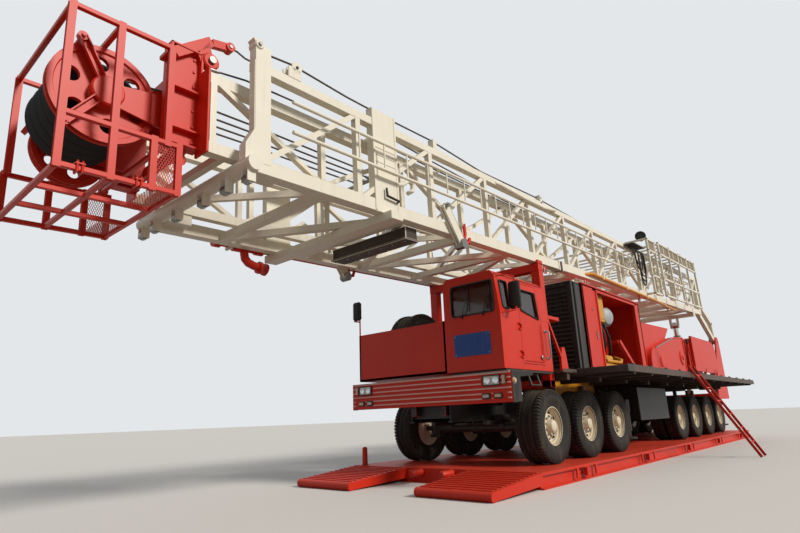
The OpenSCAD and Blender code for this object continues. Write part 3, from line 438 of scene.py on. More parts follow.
def grown(tree, values):
    carrier = bpy.data.objects.new(tree.name, bpy.data.meshes.new(tree.name))
    bpy.context.scene.collection.objects.link(carrier)
    modifier = carrier.modifiers.new(tree.name, "NODES")
    modifier.node_group = tree
    for identifier, value in values.items():
        modifier[identifier] = value
    evaluated = carrier.evaluated_get(bpy.context.evaluated_depsgraph_get())
    mesh = bpy.data.meshes.new_from_object(evaluated)
    carrier.modifiers.remove(modifier)
    bpy.data.objects.remove(carrier)
    return mesh


def pattern_part(bm, name):
    mesh = bpy.data.meshes.new(name)
    bmesh.ops.recalc_face_normals(bm, faces=bm.faces)
    bm.to_mesh(mesh)
    bm.free()
    part = bpy.data.objects.new(name, mesh)
    bpy.context.scene.collection.objects.link(part)
    return part


def take_in(bm, mesh, move, slot=0):
    known = len(bm.faces)
    mesh.transform(move)
    bm.from_mesh(mesh)
    bm.faces.ensure_lookup_table()
    for face in bm.faces[known:]:
        face.material_index = slot


def close(bm, loops, slot=0):
    skin(bm, loops, slot)
    for loop in (loops[0], loops[-1][::-1]):
        bm.faces.new(loop).material_index = slot


def prism(bm, outline, low, high, slot=0):
    # outline is in the part's x and z, drawn out along y
    loops = [[bm.verts.new((x, y, z)) for x, z in outline] for y in sorted((low, high))]
    close(bm, loops, slot)


# radius outside, half width, radius at the rim, tread blocks a side
steered_tyre = (0.565, 0.205, 0.295, 60)
driven_tyre = (0.540, 0.148, 0.295, 60)


def tyre(bm, sizes, middle):
    radius, half, rim, blocks = sizes
    top = radius - 0.014
    profile = [(0, top), (0.012, top), (0.014, top - 0.012), (0.024, top - 0.012), (0.026, top), (0.42 * half, top),
               (0.43 * half, top - 0.012), (0.50 * half, top - 0.012), (0.51 * half, top), (0.80 * half, top - 0.003),
               (0.90 * half, top - 0.016), (0.955 * half, top - 0.05), (0.995 * half, top - 0.10),
               (1.0 * half, rim + 0.55 * (top - rim)), (0.985 * half, rim + 0.34 * (top - rim)),
               (0.95 * half, rim + 0.30 * (top - rim)), (0.90 * half, rim + 0.12 * (top - rim)),
               (0.86 * half, rim + 0.01), (0.80 * half, rim - 0.012)]
    profile = [(-y, r) for y, r in profile[:0:-1]] + profile
    turned(bm, profile, (0, middle, 0), ACROSS, 72, closed=True)
    pitch = 2 * pi * radius / blocks
    for side in (-1, 1):
        block = bmesh.new()
        wide = pitch * 0.62
        outline = [(0.56 * half, 0), (0.56 * half, -0.016), (0.93 * half, -0.075), (0.985 * half, -0.085),
                   (1.0 * half, -0.078), (0.97 * half, -0.032), (0.92 * half, -0.008), (0.84 * half, 0)]
        loops = [[block.verts.new((z, dy, side * y)) for y, z in outline] for dy in (-wide / 2, wide / 2)]
        close(block, loops)
        block = pattern_part(block, "tread_block")
        blocks_ring = patterned("ring", block, blocks, radius, tyre_rubber)
        bpy.data.objects.remove(block)
        take_in(bm, blocks_ring, Matrix.Translation((0, middle, 0)) @ Matrix.Rotation(-pi / 2, 4, "X"))


def hexagon_nut(across, tall):
    nut = bmesh.new()
    turned(nut, [(0, across * 0.58), (tall * 0.85, across * 0.58), (tall, across * 0.48), (tall, across * 0.28),
                 (tall * 1.5, across * 0.27), (tall * 1.6, across * 0.2), (tall * 1.6, 0)], (0, 0, 0), UP, 6)
    return pattern_part(nut, "wheel_nut")


def disc_wheel(bm, face, half, bead, dish):
    # from the outer lip down into the well, across the pressed disc to the hub
    rim = [(half, bead), (half, bead + 0.012), (half - 0.012, bead + 0.014), (half - 0.016, bead - 0.004),
           (half - 0.030, bead - 0.010), (half - 0.060, bead - 0.020), (half - 0.066, bead - 0.034),
           (half - 0.105, bead - 0.040), (half - dish, bead - 0.045), (half - dish - 0.01, bead - 0.075),
           (half - dish + 0.018, bead - 0.100), (half - dish + 0.026, bead - 0.118), (half - dish + 0.020, 0.105),
           (half - dish + 0.070, 0.098), (half - dish + 0.105, 0.088), (half - dish + 0.118, 0.070),
           (half - dish + 0.118, 0)]
    turned(bm, rim, (0, face, 0), ACROSS, 48, 1)
    inner = [(-half + 0.02, 0), (-half + 0.02, bead - 0.05), (-half, bead - 0.01), (-half, bead + 0.012),
             (-half + 0.03, bead - 0.012), (half - 0.02, bead - 0.016)]
    turned(bm, inner, (0, face, 0), ACROSS, 48, 1)
    nut = hexagon_nut(0.034, 0.020)
    nuts = patterned("ring", nut, 10, 0.1475, bare_steel)
    take_in(bm, nuts, Matrix.Translation((0, face + half - dish + 0.024, 0)) @ Matrix.Rotation(-pi / 2, 4, "X"), 2)
    bpy.data.objects.remove(nut)
    for k in range(8):
        turn = 2 * pi * (k + 0.5) / 8
        reach = bead - 0.0885
        centre = Vector((reach * cos(turn), face + half - dish + 0.0125, reach * sin(turn)))
        outward = Vector((cos(turn) * -0.45, 1, sin(turn) * -0.45))
        turned(bm, [(-0.004, 0), (-0.004, 0.021), (0.006, 0.021), (0.006, 0.026), (-0.006, 0.027)], centre,
               outward, 16, 3)


hand_hole_black = enamel("unlit_hollow_black", "#0B0A09", "#100E0C", "#2A241E", rough=0.9, peel=0.0,
                         dusty=0.0, streak=0.0)
for kind, tyre_sizes, centres in (("steered", steered_tyre, (0,)), ("driven", driven_tyre, (-0.1725, 0.1725))):
    bm = bmesh.new()
    for middle in centres:
        tyre(bm, tyre_sizes, middle)
    disc_wheel(bm, centres[-1], tyre_sizes[1] * 0.84, tyre_sizes[2] - 0.012, 0.10 if kind == "steered" else 0.155)
    if kind == "driven":
        spun(bm, [(-0.13, 0.24), (-0.128, 0.30), (0.12, 0.295), (0.13, 0.24)], (0, centres[0], 0), ACROSS, 40, 1)
    bmesh.ops.recalc_face_normals(bm, faces=bm.faces)
    pattern = bpy.data.meshes.new(kind + "_wheel")
    bm.to_mesh(pattern)
    bm.free()
    rows = ((1, 5.77), (2, 4.405), (3, 3.04)) if kind == "steered" else ((4, -1.38), (5, -2.745),
                                                                         (6, -4.11), (7, -5.475))
    for number, x in rows:
        for side in (-1, 1):
            y, z = (1.26, 0.7853) if kind == "steered" else (1.078, 0.7603)
            move = Matrix.Translation((x, side * y, z)) @ Matrix.Rotation(0 if side > 0 else pi, 4, "Z")
            move = move @ Matrix.Rotation(radians(17 * number + 40 * side), 4, "Y")
            wheel = bmesh.new()
            wheel.from_mesh(pattern)
            wheel.transform(move)
            name = f"wheel_{number}_{'left' if side > 0 else 'right'}"
            fit(wheel, name + "_tyre_and_rim", name, tyre_rubber, cream_enamel, bare_steel, hand_hole_black,
                slot="tyre", instead_of=name, crease=38)
bm = bmesh.new()
tyre(bm, steered_tyre, 0)
disc_wheel(bm, 0, steered_tyre[1] * 0.84, steered_tyre[2] - 0.012, 0.10)
bm.transform(Matrix.Translation((6.525, -0.64, 2.199)) @ Matrix.Rotation(0.3, 4, "Y"))
fit(bm, "spare_tyre_and_rim", "carrier", tyre_rubber, cream_enamel, bare_steel, hand_hole_black, slot="tyre",
    instead_of="spare_wheel", crease=38)


# Cab, front body and spare wheel's tray: folded and welded steel sheet in gloss
# red enamel. The cab is a hollow shell whose windows and doorway are cut, and
# the body beside it is an open tray that the spare wheel stands in.
def cut(bm, draw, *shape):
    # take a drawn shape away from a solid, for good
    tool = bmesh.new()
    draw(tool, *shape)
    kept, tool = pattern_part(bm, "kept"), pattern_part(tool, "tool")
    change = kept.modifiers.new("cut", "BOOLEAN")
    change.operation = "DIFFERENCE"
    change.solver = "EXACT"
    change.object = tool
    mesh = bpy.data.meshes.new_from_object(kept.evaluated_get(bpy.context.evaluated_depsgraph_get()))
    bpy.data.objects.remove(kept)
    bpy.data.objects.remove(tool)
    left = bmesh.new()
    left.from_mesh(mesh)
    return left


def along(bm, outline, x0, x1, slot=0):
    # outline is in the part's y and z, drawn out along x
    close(bm, [[bm.verts.new((x, y, z)) for y, z in outline] for x in (x0, x1)], slot)


def rounded(low, high, radius, count=6):
    corners = [(high[0] - radius, high[1] - radius), (low[0] + radius, high[1] - radius),
               (low[0] + radius, low[1] + radius), (high[0] - radius, low[1] + radius)]
    return [(x + radius * cos(pi / 2 * (k + i / count)), z + radius * sin(pi / 2 * (k + i / count)))
            for k, (x, z) in enumerate(corners) for i in range(count + 1)]


# the cab's back and front, right and left wall, floor, waist and roof
cab_x0, cab_x1, cab_y0, cab_y1, cab_z0, waist, cab_z1 = 5.66, 7.16, 0.456, 1.472, 1.624, 2.44, 3.09
sheet = 0.04


def section(t):
    return [(cab_y0 + t, cab_z0 + t), (cab_y1 - t, cab_z0 + t), (cab_y1 - t, waist), (1.412 - t, 3.01),
            (1.342 - t, cab_z1 - t), (0.526 + t, cab_z1 - t), (cab_y0 + t, 3.01)]


door_x0, door_x1, hinge_levels = 5.91, 6.60, (1.85, 2.27)
windscreen = rounded((0.610, 2.465), (1.375, 2.940), 0.060)
quarter = rounded((6.845, 2.515), (7.060, 2.940), 0.045)
door_window = [(door_x0 + 0.085, 2.43), (door_x1 - 0.060, 2.53), (door_x1 - 0.150, 2.875), (door_x0 + 0.085, 2.875)]
walls = bmesh.new()
along(walls, section(0), cab_x0, cab_x1)
for draw, *shape in ((along, section(sheet), cab_x0 + sheet, cab_x1 - sheet), (along, windscreen, 7.08, 7.17),
                     (prism, quarter, 1.30, 1.60), (plate, (door_x0, 1.312, 1.71), (door_x1, 1.482, 2.99))):
    walls = cut(walls, draw, *shape)
for z in hinge_levels:
    for s in (-1, 1):
        plate(walls, (door_x1 - 0.008, 1.462, z + s * 0.044 - 0.012), (door_x1 + 0.060, 1.500, z + s * 0.044 + 0.012),
              0, 0.003)
    pin(walls, -0.05, 0.05, 0.010, (door_x1, 1.488, z), UP)
for x in (5.90, 6.30):
    plate(walls, (x, 0.496, 1.14), (x + 0.12, 0.616, 1.634), 1)
plate(walls, (5.90, 0.43, 1.13), (6.42, 0.616, 1.21), 1)
fit(walls, "cab_shell_of_folded_sheet", "carrier", red_enamel, black_paint_and_shade, slot="red_paint", instead_of="cab_shell")

leaf = bmesh.new()
along(leaf, section(0), door_x0 + 0.008, door_x1 - 0.008)
for draw, *shape in ((along, section(sheet), 5.5, 7.5), (plate, (5.0, 0, 1.0), (8.0, 1.312, 4.0)),
                     (plate, (5.0, 0, 1.0), (8.0, 2.0, 1.718)), (plate, (5.0, 0, 2.982), (8.0, 2.0, 4.0)),
                     (prism, door_window, 1.25, 1.60)):
    leaf = cut(leaf, draw, *shape)
for z in hinge_levels:
    pin(leaf, -0.03, 0.03, 0.015, (door_x1, 1.488, z), UP)
    plate(leaf, (door_x1 - 0.06, 1.468, z - 0.03), (door_x1, 1.488, z + 0.03), 0, 0.002)
fit(leaf, "cab_door_leaf", "cab_door", red_enamel, slot="red_paint", instead_of="cab_door")

tray_y1 = 0.4557
tray = bmesh.new()
for low, high in (((cab_x0, -cab_y1, cab_z0), (cab_x1, tray_y1, cab_z0 + sheet)),
                  ((cab_x0, -cab_y1, cab_z0), (cab_x0 + sheet, tray_y1, waist)),
                  ((cab_x1 - sheet, -cab_y1, cab_z0), (cab_x1, tray_y1, waist)),
                  ((cab_x0, -cab_y1, cab_z0), (cab_x1, sheet - cab_y1, waist)),
                  ((cab_x0, tray_y1 - sheet, cab_z0), (cab_x1, tray_y1, waist))):
    plate(tray, low, high, 0, 0.003)
for y in (-0.88, -0.36):
    plate(tray, (6.10, y - 0.03, 1.664), (6.95, y + 0.03, 1.74))
fit(tray, "front_body_tray", "carrier", red_enamel, slot="red_paint", instead_of="front_body")

# Mast rest: a portal of square steel tube in red enamel, welded up ahead of the
# cooler. Its top beam carries the mast between two ears, and braces and flat
# brackets stiffen its legs.
rest = bmesh.new()
plate(rest, (5.16, -1.24, 1.40), (5.32, 1.24, 1.52), 0, 0.006)
plate(rest, (5.15, -1.24, 3.44), (5.33, 1.24, 3.585), 0, 0.006)
for side in (-1, 1):
    for low, high in (((5.16, 1.08, 1.40), (5.32, 1.24, 3.46)), ((5.18, 0.33, 1.23), (5.30, 0.42, 1.41)),
                      ((5.16, 1.20, 2.50), (5.24, 1.435, 2.57))):
        plate(rest, low, high, 0, 0.005, side)
    bar(rest, (5.59, side * 1.41, 2.53), (5.20, side * 1.41, 1.88), 0.045, 0.045, 0, 0.004, upward=ACROSS)
    bar(rest, (5.17, side * 1.41, 2.535), (5.63, side * 1.41, 2.535), 0.06, 0.06, 0, 0.004)
    prism(rest, [(4.98, 1.66), (5.24, 1.66), (5.22, 1.90), (5.15, 2.06), (5.06, 2.06), (5.03, 1.96)],
          side * 1.39, side * 1.43)
    plate(rest, (5.15, 1.205, 3.56), (5.33, 1.24, 3.64), 0, 0.004, side)
fit(rest, "mast_rest_portal", "carrier", red_enamel, slot="red_paint", instead_of="mast_rest")

# Cooler core and engine housing: a black louvred box and a red sheet hood with
# large side openings, both folded from 3 mm sheet over a welded frame.
deck_top = 1.70
core = bmesh.new()
plate(core, (3.94, -1.33, deck_top), (4.30, 1.33, 3.37))
for side in (-1, 1):
    plate(core, (4.27, 1.27, deck_top), (4.34, 1.36, 3.38), 0, 0.004, side)
    plate(core, (3.94, 1.27, deck_top), (4.20, 1.36, 3.38), 0, 0.004, side)
plate(core, (4.28, -1.30, deck_top), (4.34, 1.30, 1.79), 0, 0.004)
plate(core, (4.28, -1.30, 3.30), (4.34, 1.30, 3.38), 0, 0.004)
for i in range(18):
    bar(core, (4.315, -1.272, 1.84 + 0.08 * i), (4.315, 1.272, 1.84 + 0.08 * i), 0.066, 0.008, upward=(0.57, 0, 0.82))
fit(core, "cooler_core_with_louvres", "carrier", black_paint_and_shade, slot="black_paint", instead_of="radiator")

housing_x0, housing_x1, housing_y, housing_top = 0.72, 3.92, 1.40, 3.42
bay_x0, bay_x1, bay_top = 1.04, 3.24, 3.33
hood = bmesh.new()
plate(hood, (housing_x0, -housing_y, 3.36), (housing_x1, housing_y, housing_top), 0, 0.006)
for x in (housing_x0, housing_x1 - 0.06):
    plate(hood, (x, -housing_y, deck_top), (x + 0.06, housing_y, 3.40), 0, 0.004)
for side in (-1, 1):
    for x0, x1, z0, z1 in ((housing_x0, bay_x0, deck_top, 3.40), (bay_x1, housing_x1, deck_top, 3.40),
                           (0.9, 3.4, deck_top, 1.76), (0.9, 3.4, bay_top, 3.40)):
        plate(hood, (x0, 1.34, z0), (x1, housing_y, z1), 0, 0.003, side)
fit(hood, "engine_housing_sheets", "carrier", red_enamel, slot="red_paint", instead_of="engine_housing")

# Drawworks: two wire line drums under rolled and folded red plate, with chain
# cases on both sides and flat guard plates in front of the rear drum.
main_drum, rear_drum = (-2.28, 0, 2.30), (-3.93, 0, 2.34)
guard = [(-3.53, 2.0), (-3.53, 3.0), (-5.78, 3.0)]
guard += [(-5.78 - 0.5 * sin(pi * k / 12), 2.5 + 0.5 * cos(pi * k / 12)) for k in range(1, 12)] + [(-5.78, 2.0)]
winch = bmesh.new()
prism(winch, [(0.66, deck_top), (-0.48, deck_top), (-0.48, 2.40), (-1.33, 2.74), (-1.77, 3.06), (0.66, 3.00)],
      -1.30, 1.30)
plate(winch, (-2.68, -1.25, deck_top), (-1.18, 1.25, 2.56), 0, 0.01)
pin(winch, -1.25, 1.25, 0.56, main_drum, ACROSS, 64)
pin(winch, -1.32, 1.32, 0.64, rear_drum, ACROSS, 64)
plate(winch, (-4.57, -1.32, deck_top), (-3.29, 1.32, 2.34), 0, 0.006)
for side in (-1, 1):
    prism(winch, [(-0.03, deck_top), (-2.56, deck_top), (-2.62, 2.88), (-1.64, 2.80), (-0.03, 2.42)],
          side * 1.30, side * 1.40)
    pin(winch, side * 1.30, side * 1.40, 0.36, (-0.03, 0, 2.06), ACROSS, 48)
    prism(winch, guard, side * 1.35, side * 1.41)
    for x in (-5.78, -4.68):
        plate(winch, (x, 1.35, deck_top), (x + 0.10, 1.41, 2.10), 0, 0.004, side)
fit(winch, "drawworks_covers_and_drums", "carrier", red_enamel, slot="red_paint", instead_of="drawworks")

# Front bumper: a pressed steel channel with six raised ribs, their top edges
# worn to a pale line and drawn brighter still as a painted highlight, on dark
# brackets and between dark end plates. Let into it are oblong headlamps in
# black bezels, clear and amber lamps, end markers.
def lens(name, code, rough=0.12):
    mat = bpy.data.materials.new(name)
    mat.use_nodes = True
    tree = mat.node_tree
    shader = tree.nodes["Principled BSDF"]
    place = add(tree, "ShaderNodeTexCoord").outputs["Object"]
    # moulded flutes, 9 mm apart
    flutes = add(tree, "ShaderNodeTexWave", [("Vector", place)], bands_direction="Y", in_Scale=35.0,
                 in_Distortion=0.0)
    bump = add(tree, "ShaderNodeBump", [("Height", flutes.outputs["Fac"])], in_Strength=0.5, in_Distance=0.002)
    tree.links.new(bump.outputs[0], shader.inputs["Normal"])
    film = add(tree, "ShaderNodeTexNoise", [("Vector", place)], in_Scale=30.0, in_Detail=4.0)
    tint = add(tree, "ShaderNodeMix", [(0, film.outputs["Fac"])], data_type="RGBA", in_6=linear(code),
               in_7=linear("#B9AF9E"))
    tree.links.new(tint.outputs[2], shader.inputs["Base Color"])
    shader.inputs["Roughness"].default_value = rough
    shader.inputs["IOR"].default_value = 1.49
    shader.inputs["Coat Weight"].default_value = 0.8
    return mat


clear_lens = lens("fluted_clear_lens", "#A9ABA8")
amber_lens = lens("fluted_amber_lens", "#D98A1E", 0.2)
# pale rib tops: worn enamel, lightened further as a painted highlight of the light they catch
worn_and_highlight_edge = enamel("enamel_worn_to_primer", "#E8C9C0", "#D9A69A", "#C58A72", dusty=0.2, streak=0.1)
reflector = enamel("aluminised_reflector", "#C9CCCC", "#B5B9BA", "#8A8378", rough=0.15, peel=0.0, dusty=0.0,
                   streak=0.0, metal=1.0)

front = 7.22
lamps = bmesh.new()
for side in (-1, 1):
    def pane(y0, y1, z0, z1, slot, proud, back=0.0, soft=0.004):
        plate(lamps, (front - back, side * y0, z0), (front + proud, side * y1, z1), slot, soft)
    # headlamp: bezel of four bars round a bright bowl and a fluted glass
    y0, y1, z0, z1 = 1.125, 1.415, 1.385, 1.535
    pane(y0, y1, z0, z0 + 0.014, 1, 0.018)
    pane(y0, y1, z1 - 0.014, z1, 1, 0.018)
    pane(y0, y0 + 0.014, z0, z1, 1, 0.018)
    pane(y1 - 0.014, y1, z0, z1, 1, 0.018)
    pane(y0 + 0.010, y1 - 0.010, z0 + 0.010, z1 - 0.010, 4, 0.003)
    pane(y0 + 0.012, y1 - 0.012, z0 + 0.012, z1 - 0.012, 2, 0.013, back=-0.005, soft=0.006)
    for y in (1.20, 1.34):
        turned(lamps, [(0, 0), (0, 0.052), (0.005, 0.050), (0.007, 0.046), (0.003, 0.030), (0.002, 0)],
               (front + 0.0125, side * y, 1.46), AHEAD, 24, 4)
    pane(1.442, 1.508, 1.395, 1.53, 3, 0.020, soft=0.008)
    pane(1.10, 1.235, 1.205, 1.285, 1, 0.010)
    pane(1.108, 1.227, 1.213, 1.277, 2, 0.022, soft=0.010)
    pane(1.300, 1.435, 1.205, 1.285, 1, 0.010)
    pane(1.308, 1.427, 1.213, 1.277, 3, 0.022, soft=0.010)
    turned(lamps, [(0, 0), (0, 0.046), (0.008, 0.046), (0.010, 0.036), (0.028, 0.033), (0.032, 0.024), (0.034, 0)],
           (7.155, side * 1.594, 1.44), (0, side, 0), 20, 3)
fit(lamps, "bumper_lamps", "carrier", black_paint_and_shade, black_paint_and_shade, clear_lens, amber_lens, reflector, slot="glass")
first_rib, rib_pitch, rib_tall, rib_y = 1.182, 0.07, 0.034, 1.575
bumper = bmesh.new()
plate(bumper, (7.09, -1.595, 1.15), (7.211, 1.595, 1.575), 0, 0.006)
for i in range(6):
    z = first_rib + rib_pitch * i
    plate(bumper, (7.205, -rib_y, z), (front, rib_y, z + rib_tall), 0, 0.005)
for side in (-1, 1):
    # dark brackets back to the rails, and the wheel arch's dark end plate
    plate(bumper, (6.98, 0.25, 1.00), (7.11, 0.34, 1.35), 1, 0.004, side)
    prism(bumper, [(7.208, 1.145), (7.208, 1.58), (6.60, 1.58), (6.60, 1.53), (6.98, 1.50), (7.10, 1.145)],
          side * 1.590, side * 1.600, 1)
fit(bumper, "front_bumper_ribbed_channel", "carrier", red_enamel, black_paint_and_shade, slot="red_paint",
    instead_of="front_bumper")
# pale strips on the ribs' top edges and the channel's top: wear and painted highlight
edges = bmesh.new()
for i in range(6):
    top = first_rib + rib_pitch * i + rib_tall
    # the lamps part the ribs they are let into
    for y0, y1 in ((-rib_y, -1.52), (-1.09, 1.09), (1.52, rib_y)) if i in (0, 1, 3, 4) else ((-rib_y, rib_y),):
        plate(edges, (front - 0.012, y0, top - 0.016), (front + 0.004, y1, top + 0.003), 0, 0.003)
for side in (-1, 1):
    for z, y in ((1.216, 1.268), (1.286, 1.268), (1.426, 1.428), (1.496, 1.428)):
        plate(edges, (front - 0.004, side * y - 0.012, z - 0.008), (front + 0.006, side * y + 0.012, z + 0.004), 0,
              0.002)
plate(edges, (front - 0.10, -1.57, 1.573), (front + 0.004, 1.57, 1.579), 0, 0.002)
fit(edges, "bumper_worn_edges", "carrier", worn_and_highlight_edge, slot="red_paint")

# Cab fittings: its panes are set in extruded black rubber. The folded sheet
# carries a blank plate, wipers, mirrors on bent tube, a grab handle,
# a slam lock and pressed seams, and a black guard with a step under its door.
rubber = enamel("black_window_rubber", "#141312", "#1B1917", "#4A433B", rough=0.6, peel=0.5, dusty=0.25, streak=0.1)
plate_blue = enamel("blue_painted_sheet", "#1F3F86", "#24498F", "#7F8796", rough=0.4, dusty=0.3, streak=0.35)


def lean(z):
    return cab_y1 - 0.060 * max(0, min(1.0, (z - waist) / (cab_z1 - waist)))


def ring(bm, corners, radius, outward, slot=0, count=8, corner_r=0.05):
    # a closed seal round a pane, its corners rounded off
    corners = [Vector(c) for c in corners]
    points = []
    for i, corner in enumerate(corners):
        before, after = corners[i - 1], corners[(i + 1) % len(corners)]
        start = corner + (before - corner).normalized() * corner_r
        end = corner + (after - corner).normalized() * corner_r
        for k in range(5):
            t = k / 4
            points.append(start * (1 - t) ** 2 + corner * 2 * t * (1 - t) + end * t * t)
    tube(bm, [p + Vector(outward) for p in points], radius, slot, count, closed=True)


seals = bmesh.new()
ring(seals, [(7.16, 0.61, 2.465), (7.16, 1.375, 2.465), (7.16, 1.375, 2.94), (7.16, 0.61, 2.94)], 0.013,
     (0.003, 0, 0))
ring(seals, [(6.845, lean(2.515), 2.515), (7.06, lean(2.515), 2.515), (7.06, lean(2.94), 2.94),
             (6.845, lean(2.94), 2.94)], 0.013, (0, 0.003, 0), corner_r=0.045)
fit(seals, "cab_window_seals", "carrier", rubber, slot="black_paint")
door_seal = bmesh.new()
ring(door_seal, [(x, lean(z) + 0.006, z) for x, z in door_window], 0.012, (0, 0.002, 0), corner_r=0.03)
fit(door_seal, "door_window_seal", "cab_door", rubber, slot="black_paint")

fittings = bmesh.new()
# grab handle behind the door, on two turned feet
x, out = 5.80, cab_y1 + 0.062
tube(fittings, [(x + 0.02, cab_y1 - 0.004, 2.26), (x + 0.015, cab_y1 + 0.03, 2.262), (x, out, 2.24), (x, out, 1.86),
                (x + 0.01, cab_y1 + 0.03, 1.822), (x + 0.02, cab_y1 - 0.004, 1.825)], 0.0125, 1, 10)
for z in (1.825, 2.26):
    spun(fittings, [(0, 0.03), (0.008, 0.03), (0.014, 0.018)], (x + 0.02, cab_y1, z), ACROSS, 16, 1)
# pressed seams of the cab's side and roof edge
plate(fittings, (5.70, cab_y1 - 0.002, 2.425), (door_x0 - 0.01, cab_y1 + 0.004, 2.433), 0, 0.001)
plate(fittings, (7.158, 0.50, 2.425), (7.163, 1.465, 2.433), 0, 0.001)
plate(fittings, (5.67, lean(3.04) - 0.012, 3.028), (7.15, lean(3.04) + 0.010, 3.040), 0, 0.003)
# blank sheet plate on the front, in a folded edge, with four screws
plate(fittings, (7.156, 0.62, 1.843), (7.166, 1.28, 2.183), 2, 0.002)
for y in (0.65, 1.25):
    for z in (1.873, 2.153):
        turned(fittings, [(0, 0), (0, 0.011), (0.004, 0.009), (0.005, 0)], (7.165, y, z), AHEAD, 12, 1)
fit(fittings, "cab_handle_and_plate", "carrier", red_enamel, bare_steel, plate_blue, slot="red_paint")

lock = bmesh.new()
spun(lock, [(0, 0.034), (0.006, 0.034), (0.012, 0.026), (0.012, 0.014), (0.006, 0.012)], (6.17, cab_y1 + 0.012, 1.83),
     ACROSS, 20, 1)
plate(lock, (6.13, cab_y1 + 0.010, 1.765), (6.145, cab_y1 + 0.016, 2.36), 0, 0.001)
plate(lock, (6.13, cab_y1 + 0.010, 1.755), (6.70, cab_y1 + 0.016, 1.765), 0, 0.001)
lock.transform(Matrix.Translation((door_x1 - 6.77, 0, 0)))
fit(lock, "cab_door_lock_and_seams", "cab_door", red_enamel, bare_steel, slot="steel")

mirrors = bmesh.new()


def mirror_head(at, turn, wide, tall):
    move = Matrix.Translation(at) @ Matrix.Rotation(turn, 4, "Z")
    part = bmesh.new()
    outline = [(-wide / 2, -tall / 2 + 0.03), (-wide / 2 + 0.03, -tall / 2), (wide / 2 - 0.03, -tall / 2),
               (wide / 2, -tall / 2 + 0.03), (wide / 2, tall / 2 - 0.03), (wide / 2 - 0.03, tall / 2),
               (-wide / 2 + 0.03, tall / 2), (-wide / 2, tall / 2 - 0.03)]
    loops = []
    for inset, depth in ((0.012, -0.004), (0, 0), (0, 0.03), (0.02, 0.052), (0.05, 0.062)):
        scale_y, scale_z = (wide / 2 - inset) / (wide / 2), (tall / 2 - inset) / (tall / 2)
        loops.append([part.verts.new(move @ Vector((depth, y * scale_y, z * scale_z))) for y, z in outline])
    skin(part, loops, 0)
    part.faces.new(loops[0][::-1]).material_index = 1
    part.faces.new(loops[-1]).material_index = 0
    mesh = bpy.data.meshes.new("mirror_head")
    bmesh.ops.recalc_face_normals(part, faces=part.faces)
    part.to_mesh(mesh)
    part.free()
    mirrors.from_mesh(mesh)


mirror_head((6.90, 1.60, 2.70), radians(-8), 0.20, 0.42)
tube(mirrors, [(7.10, 1.40, 2.99), (7.06, 1.52, 3.00), (6.97, 1.63, 2.97), (6.945, 1.64, 2.90), (6.945, 1.64, 2.53),
               (6.98, 1.63, 2.46), (7.06, 1.54, 2.435), (7.11, 1.468, 2.43)], 0.011, 2, 10)
mirror_head((7.13, -1.53, 2.895), radians(8), 0.17, 0.34)
tube(mirrors, [(7.13, -1.475, 1.64), (7.13, -1.475, 3.05), (7.13, -1.50, 3.065), (7.14, -1.60, 3.05),
               (7.14, -1.60, 2.72), (7.13, -1.50, 2.70), (7.13, -1.475, 2.70)], 0.012, 2, 10)
fit(mirrors, "mirrors_on_tube_arms", "carrier", rubber, reflector, red_enamel, slot="black_paint")

wipers = bmesh.new()
for y, tilt in ((0.80, 0.12), (1.18, 0.12)):
    turned(wipers, [(0, 0), (0, 0.018), (0.02, 0.016), (0.03, 0)], (7.158, y, 2.435), AHEAD, 14)
    tube(wipers, [(7.18, y, 2.435), (7.185, y + 0.05, 2.56), (7.178, y + tilt, 2.70)], 0.006, 0, 8)
    plate(wipers, (7.166, y + tilt - 0.008, 2.52), (7.178, y + tilt + 0.008, 2.88), 0, 0.003)
fit(wipers, "windscreen_wipers", "carrier", rubber, slot="black_paint")

sill = bmesh.new()
plate(sill, (5.66, 0.50, 1.585), (7.10, 1.462, 1.622), 0, 0.006)
# guard in front of the first wheel, and its folded flange
plate(sill, (6.78, 1.36, 1.15), (7.02, 1.50, 1.60), 0, 0.012)
plate(sill, (6.50, 1.44, 1.545), (6.80, 1.47, 1.60), 0, 0.006)
turned(sill, [(0, 0), (0, 0.028), (0.02, 0.026), (0.026, 0)], (6.62, 1.468, 1.575), ACROSS, 16, 1)
# step of round bar under the door
tube(sill, [(6.40, 1.40, 1.60), (6.40, 1.455, 1.40), (6.12, 1.455, 1.40), (6.12, 1.40, 1.60)], 0.014, 0, 8)
for k in range(4):
    tube(sill, [(6.39 - k * 0.088, 1.36, 1.40), (6.39 - k * 0.088, 1.456, 1.40)], 0.008, 0, 6)
fit(sill, "cab_sill_guard_and_step", "carrier", grey_enamel, amber_lens, slot="frame_grey")

# Cooler and engine fittings: folded grey pillars beside the cooler's core, red
# lips and stays round the housing's open sides. Inside stand the yellow control
# box, the spun air cleaner, hoses, pipes and the engine's own castings.
pillars = bmesh.new()
for side in (-1, 1):
    plate(pillars, (3.96, 1.352, 1.72), (4.19, 1.372, 3.36), 0, 0.006, side)
    plate(pillars, (4.275, 1.352, 1.72), (4.345, 1.372, 3.36), 0, 0.006, side)
    for z in (1.80, 2.40, 3.00, 3.30):
        turned(pillars, [(0, 0), (0, 0.014), (0.008, 0.012), (0.009, 0)], (3.99, side * 1.371, z), (0, side, 0), 6, 1)
plate(pillars, (3.93, -1.37, 3.372), (4.35, 1.37, 3.392), 0, 0.006)
fit(pillars, "cooler_pillars", "carrier", grey_enamel, bare_steel, slot="black_paint")

